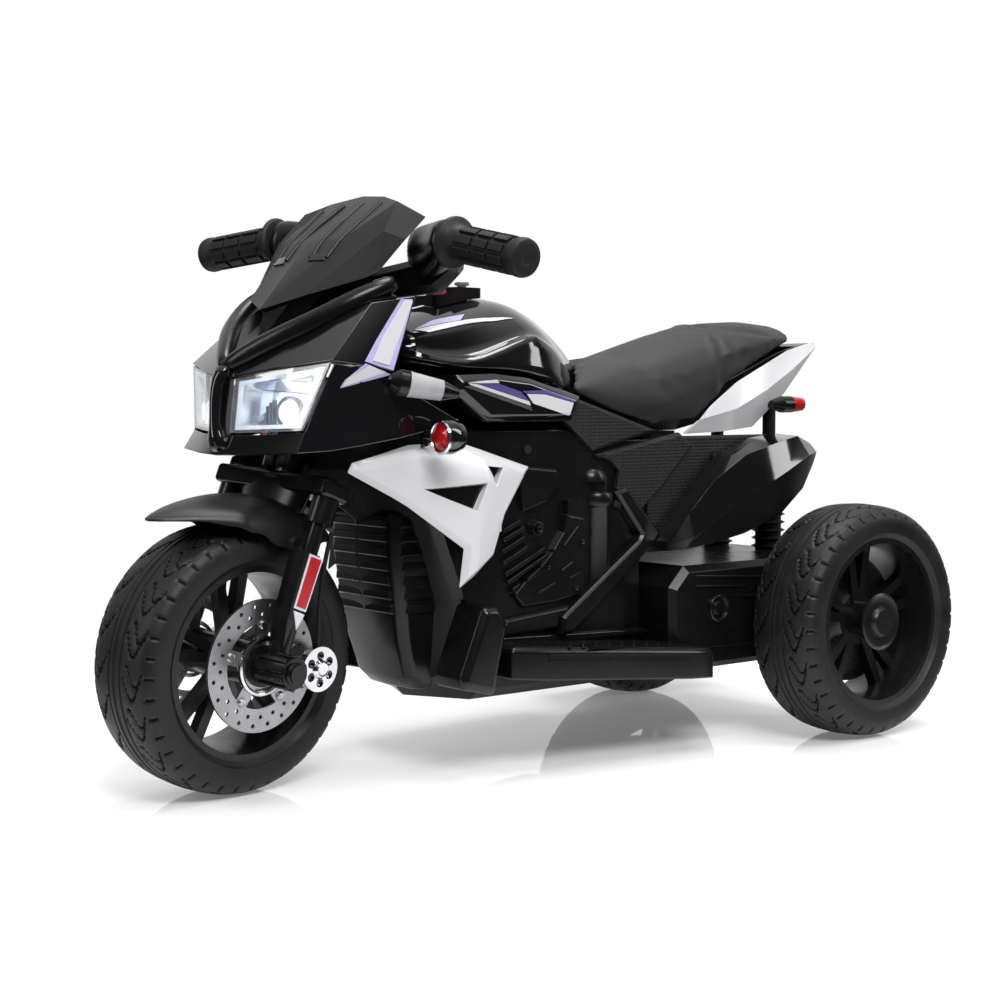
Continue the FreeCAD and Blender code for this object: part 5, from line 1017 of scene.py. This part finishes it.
# level slats round the nose
slatLook = {
    "from": 0.142, "to": 0.224, "pitch": 0.0122, "half": 0.0400, "back": 0.122, "bend": 0.009, "drop": 0.001,
    "wide": 0.0092, "tall": 0.0016, "sink": 0.002, "taper": 0.30,
}
slatShape = [slatLook[key] for key in ("wide", "tall", "sink", "taper")]
noseFace = surfaceOf("nose_shroud")
bm = bmesh.new()
level = slatLook["from"]
while level < slatLook["to"]:
    front = noseFace.ray_cast(Vector((0.4, slatLook["half"] * 0.5, level)), Vector((-1, 0, 0)))[0].x
    flank = noseFace.ray_cast(Vector((slatLook["back"], 0.3, level)), Vector((0, -1, 0)))[0]
    beam(bm, (front, 0.0, level), (front - slatLook["drop"], slatLook["half"], level), (1, 0, 0.1), *slatShape)
    beam(bm, (front - slatLook["bend"], flank.y, level), flank, (0, 1, 0.1), *slatShape)
    level += slatLook["pitch"]
bothSides(bm)
keepPiece(bm, "nose_slats", "satin_black", edge=0.0008, edgeFrom=20)
print("nose and guard made")

# seat: remeshed, swelled under its cover, then the seam is drawn in
seatLook = {
    "voxel": 0.0050, "shrink": 0.0022, "pressure": 4.0, "frames": 20, "cap": 0.0050, "heldBelow": -0.25, "smooth": 0.4,
    "seamAbove": -0.2, "seam": -0.232, "seamBow": 5.4, "seamWide": 0.0045, "seamDeep": 0.0030,
    "welt": 0.0016, "weltAfter": 0.0085, "weltWide": 0.005,
}
bm = mergedCopy("seat")
bmesh.ops.triangulate(bm, faces=bm.faces)
block = bpy.data.meshes.new("seatBlock")
bm.to_mesh(block)
bm.free()
blank = bpy.data.objects.new("seatBlank", block)
scene.collection.objects.link(blank)
fine = blank.modifiers.new("fine", "REMESH")
fine.mode = "VOXEL"
fine.voxel_size = seatLook["voxel"]
fine.adaptivity = 0.0
softMesh = bpy.data.meshes.new_from_object(blank.evaluated_get(bpy.context.evaluated_depsgraph_get()))
bpy.data.objects.remove(blank)
for point, normal in [(vert, vert.normal.copy()) for vert in softMesh.vertices]:
    point.co -= normal * seatLook["shrink"]
start = [vert.co.copy() for vert in softMesh.vertices]
dummy = bpy.data.objects.new("seatDummy", softMesh)
scene.collection.objects.link(dummy)
held = dummy.vertex_groups.new(name="held")
underside = [vert.index for vert in softMesh.vertices if vert.normal.z < seatLook["heldBelow"]]
held.add(underside, 1.0, "REPLACE")
cloth = dummy.modifiers.new("cloth", "CLOTH")
cloth.settings.use_pressure = True
cloth.settings.uniform_pressure_force = seatLook["pressure"]
cloth.settings.effector_weights.gravity = 0
cloth.settings.vertex_group_mass = "held"
cloth.settings.quality = 4
cloth.collision_settings.use_collision = False
for step in range(1, seatLook["frames"] + 1):
    scene.frame_set(step)
softMesh = bpy.data.meshes.new_from_object(dummy.evaluated_get(bpy.context.evaluated_depsgraph_get()))
for vert, first in zip(softMesh.vertices, start):
    move = vert.co - first
    if move.length > seatLook["cap"]:
        vert.co = first + move.normalized() * seatLook["cap"]
bpy.data.objects.remove(dummy)
scene.frame_set(1)
bm = bmesh.new()
bm.from_mesh(softMesh)
bmesh.ops.smooth_vert(bm, verts=bm.verts, factor=seatLook["smooth"], use_axis_x=True, use_axis_y=True, use_axis_z=True)
bm.normal_update()
for vert in bm.verts:
    if vert.normal.z > seatLook["seamAbove"]:
        seamAt = seatLook["seam"] + seatLook["seamBow"] * vert.co.y ** 2
        near = (vert.co.x - seamAt) / seatLook["seamWide"]
        vert.co -= vert.normal * seatLook["seamDeep"] * math.exp(-near * near)
        beside = (vert.co.x - seamAt - seatLook["weltAfter"]) / seatLook["weltWide"]
        vert.co += vert.normal * seatLook["welt"] * math.exp(-beside * beside)
seatPad = keepPiece(bm, "seat_pad", "seat", replaces="seat", rounds=1)
print("seat padded")

# headlights: a projector with its fins and shelf between lens and reflector, in millimetres right, up and out
lampLook = {
    "centre": (0.2740, 0.0633, 0.3095), "ahead": (0.95, 0.31, 0.05), "steps": 40,
    "ring": [(0.0100, -0.0050), (0.0128, -0.0050), (0.0134, -0.0010), (0.0128, 0.0012), (0.0112, 0.0016),
             (0.0104, 0.0002), (0.0100, -0.0050)],
    "dome": [(0.0102, -0.0040), (0.0101, 0.0000), (0.0090, 0.0022), (0.0066, 0.0036), (0.0034, 0.0043), (0.0, 0.0045)],
}
lampBars = [
    {"start": (-16.0, -20.0, -2.5), "end": (-16.0, 10.0, -2.5), "wide": 0.0013, "tall": 0.0040},
    {"start": (-19.2, -22.0, -2.5), "end": (-19.2, 8.0, -2.5), "wide": 0.0013, "tall": 0.0040},
    {"start": (-22.4, -22.0, -2.5), "end": (-22.4, 5.0, -2.5), "wide": 0.0013, "tall": 0.0040},
    {"start": (-24.0, 17.5, -3.5), "end": (15.0, 15.0, -3.5), "wide": 0.0012, "tall": 0.0060},
    {"start": (-26.0, -3.0, -4.0), "end": (-36.0, -7.5, -3.0), "wide": 0.0085, "tall": 0.0016, "taper": 0.6},
]
louvres = [
    {"start": (-3.0, 26.0, -5.0), "end": (20.0, 26.0, -5.0), "wide": 0.0042, "tall": 0.0024},
    {"start": (-1.0, 31.0, -5.0), "end": (22.0, 31.0, -5.0), "wide": 0.0042, "tall": 0.0024},
    {"start": (0.0, 36.0, -5.0), "end": (23.0, 36.0, -5.0), "wide": 0.0042, "tall": 0.0024},
]
ahead = Vector(lampLook["ahead"]).normalized()
across = Vector((0, 0, 1)).cross(ahead).normalized()
lampTurn = Matrix((across, ahead.cross(across), ahead)).transposed().to_4x4()
lampPlace = Matrix.Translation(lampLook["centre"]) @ lampTurn


def lampBeams(bm, bars):
    for bar in bars:
        start, end = [lampPlace @ (Vector(bar[key]) / 1000) for key in ("start", "end")]
        beam(bm, start, end, ahead, bar["wide"], bar["tall"], taper=bar.get("taper", 0.25))
    bothSides(bm)


bm = spunCup(lampLook["ring"], lampLook["steps"], lampPlace)
lampBeams(bm, lampBars)
keepPiece(bm, "projector_rings", "smoke", slot="chrome", edge=0.0003)
bm = spunCup(lampLook["dome"], lampLook["steps"], lampPlace)
bothSides(bm)
keepPiece(bm, "projector_domes", "lamp", crease=60)
bm = bmesh.new()
lampBeams(bm, louvres)
keepPiece(bm, "side_light_louvres", "pale_chrome", slot="chrome", edge=0.0004)

# round side lamps: black bowls, each with a thin bright ring
bowlRing = {
    "centre": (0.1764, 0.131, 0.2895), "steps": 48,
    "profile": [(0.0114, -0.0020), (0.0136, -0.0020), (0.0139, -0.0004), (0.0131, 0.0010), (0.0120, 0.0012),
                (0.0114, 0.0002), (0.0114, -0.0020)],
}
place = Matrix.Translation(bowlRing["centre"]) @ Matrix.Rotation(math.radians(90), 4, "Y")
bm = spunCup(bowlRing["profile"], bowlRing["steps"], place)
bothSides(bm)
keepPiece(bm, "side_lamp_rings", "chrome", crease=30)
bowls = "side_lamp_housings"
keepPiece(mergedCopy(bowls), bowls + "_shown", "gloss_black", replaces=bowls, edge=0.0008)
print("lamps fitted")

# reflector strips on the fork fairings: red with a pale border, and a pale tip below
stripLook = {"low": 0.0675, "edge": 0.0003}
strips = {
    "fork_strip_borders": {"finish": "reflect_white", "high": 0.0688, "corners": [
        (-7.4, 95.0), (7.6, 95.0), (6.8, 50.0), (-6.6, 50.0)]},
    "fork_strips": {"finish": "reflect_red", "high": 0.0694, "corners": [
        (-5.6, 93.2), (5.8, 93.2), (5.2, 52.0), (-5.0, 52.0)]},
    "fork_strip_tips": {"finish": "reflect_white", "high": 0.0688, "corners": [
        (-6.2, 48.0), (6.0, 48.0), (-2.6, 34.0)]},
}
for name, strip in strips.items():
    bm = bmesh.new()
    for side in (1, -1):
        face = flatFace(bm, [sidePoint(corner, side * stripLook["low"]) for corner in strip["corners"]])
        raiseFaces(bm, [face], (0, side * (strip["high"] - stripLook["low"]), 0))
    bmesh.ops.recalc_face_normals(bm, faces=bm.faces)
    bm.transform(steerTurn @ legFrame)
    keepPiece(bm, name, strip["finish"], "steering", "red_lens", edge=stripLook["edge"])
print("fork trimmed")

# silencers: gloss above, satin below
silencerLook = {"glossFrom": 0.2, "edge": 0.0016}
bm = mergedCopy("mufflers")
for face in bm.faces:
    face.material_index = 0 if face.normal.z > silencerLook["glossFrom"] else 1
standIn(bm, "mufflers", ["gloss_black", "satin_black"], edge=silencerLook["edge"])

# housing: a round plug in its collar, ridges along its side
housingLook = {
    "face": 0.1080, "plug": (-162, 125.6), "plugSteps": 40, "ridgeTall": 0.0020,
    "profile": [(0.0128, -0.0010), (0.0128, 0.0026), (0.0112, 0.0034), (0.0098, 0.0030), (0.0094, 0.0008),
                (0.0068, 0.0008), (0.0062, 0.0028), (0.0, 0.0032)],
    "ridges": [((-132, 157), (-226, 151), 0.0030), ((-132, 148), (-200, 144), 0.0022),
               ((-132, 92), (-226, 88), 0.0030), ((-180, 136), (-226, 133), 0.0024)],
}
face = housingLook["face"]
place = Matrix.Translation(sidePoint(housingLook["plug"], face)) @ turnedOut(1)
bm = spunCup(housingLook["profile"], housingLook["plugSteps"], place)
for start, end, wide in housingLook["ridges"]:
    beam(bm, sidePoint(start, face), sidePoint(end, face), (0, 1, 0), wide, housingLook["ridgeTall"])
bothSides(bm)
keepPiece(bm, "housing_relief", "satin_black", edge=0.0006)

# boards: grip ribs with dots between them, and a double lip along the outer edge
boardLook = {
    "front": 0.062, "back": -0.128, "low": 0.094, "lowAt": -0.138, "rise": 18.0 / 226.0,
    "ribs": (0.086, 0.094, 0.102, 0.110, 0.118, 0.126), "ribWide": 0.0024, "ribTall": 0.0016,
    "cornerFrom": 0.104, "cornerSlope": 2.2,
    "dotRows": (0.090, 0.106, 0.122), "dots": 11, "dotFrom": 0.010, "dotPitch": 0.0150, "dotSink": 0.0004,
    "dot": 0.0021, "dotTall": 0.0018, "dotSteps": 8,
    "lips": [(0.0062, 0.0022), (0.0112, 0.0016)], "lipEnds": (0.056, -0.096), "lipTall": 0.0014,
    "lipFace": 0.1235, "lipFrom": 0.0446, "lipSlope": 0.0999, "lipOut": (0.0995, 0.995, 0),
    "pedalGap": 0.004,
}


def boardTop(x):
    return boardLook["low"] + boardLook["rise"] * (x - boardLook["lowAt"])


bm = bmesh.new()
back = boardLook["back"]
for y in boardLook["ribs"]:
    front = boardLook["front"] - max(0.0, y - boardLook["cornerFrom"]) * boardLook["cornerSlope"]
    ends = [(x, y, boardTop(x)) for x in (front, back)]
    beam(bm, *ends, (0, 0, 1), boardLook["ribWide"], boardLook["ribTall"])
for row in boardLook["dotRows"]:
    for i in range(boardLook["dots"]):
        x = back + boardLook["dotFrom"] + i * boardLook["dotPitch"]
        place = Matrix.Translation((x, row, boardTop(x) - boardLook["dotSink"]))
        domed(bm, place, boardLook["dot"], boardLook["dotTall"], boardLook["dotSteps"])
for drop, wide in boardLook["lips"]:
    ends = []
    for x in boardLook["lipEnds"]:
        y = boardLook["lipFace"] + (boardLook["lipFrom"] - x) * boardLook["lipSlope"]
        ends.append((x, y, boardTop(x) - drop))
    beam(bm, *ends, boardLook["lipOut"], wide, boardLook["lipTall"])
bothSides(bm)
low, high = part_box("accelerator_pedal")
gap = boardLook["pedalGap"]
underPedal = [vert for vert in bm.verts if vert.co.y < 0 and low[0] - gap < vert.co.x < high[0] + gap
              and low[1] - gap < vert.co.y < high[1] + gap]
bmesh.ops.delete(bm, geom=underPedal, context="VERTS")
keepPiece(bm, "board_grip", "satin_black", crease=30)
print("rear and boards detailed")

# windscreen: two channels run from the slots to the top edge, each between raised rims
rimLook = {
    "wide": 2.4, "tall": 2.2, "steps": 10, "round": 14, "sunk": 0.0004, "reach": 0.04, "facing": (0.70, 0.05, 0.71),
}
slotLook = {"wide": 0.0085, "tall": 0.0012, "sink": 0.002, "taper": 0.1}
channelRims = [
    {"start": (227.0, 19.0, 437.0), "end": (173.5, 15.0, 488.0)},
    {"start": (223.0, 39.0, 435.0), "end": (165.0, 45.0, 486.0)},
]
screenFace = surfaceOf("windscreen")
facing = Vector(rimLook["facing"]).normalized()
feet = []
bm = bmesh.new()
for rim in channelRims:
    line = []
    for i in range(rimLook["steps"] + 1):
        spot = Vector(rim["start"]).lerp(Vector(rim["end"]), i / rimLook["steps"]) / 1000
        spot, normal = screenFace.ray_cast(spot + facing * rimLook["reach"], -facing, rimLook["reach"] * 2)[:2]
        if spot:
            line.append((spot, normal if normal.dot(facing) > 0 else -normal))
    feet.append(line[0])
    sections = [((spot - normal * rimLook["sunk"]) * 1000, rimLook["wide"], rimLook["tall"]) for spot, normal in line]
    lofted(bm, sections, rimLook["round"])
bothSides(bm)
keepPiece(bm, "screen_rims", "matte_black", slot="satin_black", crease=60)
# gloss black bar across the foot of the channels: painted shade where the slots open
bm = bmesh.new()
beam(bm, feet[0][0], feet[1][0], feet[0][1] + feet[1][1], **slotLook)
bothSides(bm)
keepPiece(bm, "screen_slot_shade", "gloss_black", edge=0.0004)
print("windscreen channelled")

# hood arms: two thick rounded arms from the nose up to the bars, as (centre, half width, half height)
armPath = [
    ((297, -2, 345), 5.5, 6.5), ((288, 13, 353), 7.5, 8.5), ((277, 28, 362), 8.5, 9.5), ((265, 45, 371), 9.0, 10.0),
    ((251, 61, 380), 9.0, 10.0), ((235, 74, 391), 9.0, 9.5), ((219, 84, 401), 8.5, 9.0), ((203, 89, 409), 8.0, 8.0),
    ((190, 91, 414), 6.5, 6.5),
]
bm = bmesh.new()
lofted(bm, armPath, steps=24)
bothSides(bm)
keepPiece(bm, "hood_arms", "satin_black", rounds=1)

# keel between the lamps, with a beak below it
keelPath = [
    ((295, 0, 349), 6.0, 9.5), ((300.5, 0, 338), 7.0, 6.5), ((303.5, 0, 322), 6.5, 5.0), ((304, 0, 301), 6.0, 4.8),
    ((303.5, 0, 294), 7.0, 7.0), ((302.5, 0, 287), 8.5, 10.5), ((301, 0, 280), 8.0, 11.0), ((299, 0, 275.5), 5.0, 8.0),
]
bm = bmesh.new()
stacked(bm, keelPath, steps=32)
keepPiece(bm, "nose_keel", "gloss_black", rounds=1)

# fork shroud: fills in between the legs from the guard up to the crown
shroudPath = [
    ((254.5, 0, 228), 12.0, 37.0), ((251.0, 0, 238), 13.0, 40.0), ((246.5, 0, 252), 13.0, 42.0),
    ((243.5, 0, 260), 12.0, 40.0),
]
bm = bmesh.new()
stacked(bm, shroudPath, steps=40)
bm.transform(steerTurn)
keepPiece(bm, "fork_shroud", "satin_black", "steering", edge=0.0020, edgeFrom=40)

# bar sleeves: chunky arms between the grips and the middle of the bar
sleevePath = [
    ((161.5, 109.0, 453.2), 18.0, 18.0), ((160.0, 103.0, 453.6), 17.5, 19.5), ((155.0, 88.0, 450.0), 14.0, 21.5),
    ((150.5, 74.0, 447.0), 12.0, 23.0), ((147.0, 60.0, 445.0), 11.0, 23.0), ((146.0, 46.0, 442.0), 10.0, 21.0),
]
bm = bmesh.new()
lofted(bm, sleevePath, steps=28)
bothSides(bm)
bm.transform(steerTurn)
keepPiece(bm, "bar_sleeves", "satin_black", "steering", rounds=1)

# grips: a flange, a barrel with lengthwise blocks and a rounded end
gripLook = {
    "centre": (0.1651, 0.1514, 0.447), "out": (0.0996, 0.9846, -0.1438), "steps": 40, "edge": 0.0008, "edgeFrom": 32,
    "blocks": 9, "blockTall": 0.0034, "blockWide": 0.0066, "blockOut": 0.0137,
    "rows": [(-0.0270, -0.0075), (-0.0045, 0.0120), (0.0150, 0.0310)],
    "profile": [(0.0105, -0.0452), (0.0192, -0.0452), (0.0214, -0.0436), (0.0214, -0.0416), (0.0196, -0.0396),
                (0.0160, -0.0372), (0.0144, -0.0340), (0.0132, -0.0298), (0.0132, 0.0332), (0.0142, 0.0350),
                (0.0156, 0.0374), (0.0159, 0.0420), (0.0150, 0.0456), (0.0122, 0.0470), (0.0060, 0.0471),
                (0.0050, 0.0464), (0.0, 0.0464)],
}
gripTurn = Vector(gripLook["out"]).to_track_quat("Z", "Y").to_matrix().to_4x4()
place = Matrix.Translation(gripLook["centre"]) @ gripTurn
bm = spunCup(gripLook["profile"], gripLook["steps"], place)
for first, last in gripLook["rows"]:
    block = Matrix.Translation((gripLook["blockOut"], 0, (first + last) / 2))
    block = block @ Matrix.Diagonal((gripLook["blockTall"], gripLook["blockWide"], last - first, 1))
    for i in range(gripLook["blocks"]):
        around = Matrix.Rotation(math.radians(i * 360 / gripLook["blocks"]), 4, "Z")
        bmesh.ops.create_cube(bm, size=1.0, matrix=place @ around @ block)
bothSides(bm)
bm.transform(steerTurn)
standIn(bm, "grips", "grip", edge=gripLook["edge"], edgeFrom=gripLook["edgeFrom"])
print("hood arms, bar sleeves and grips made")
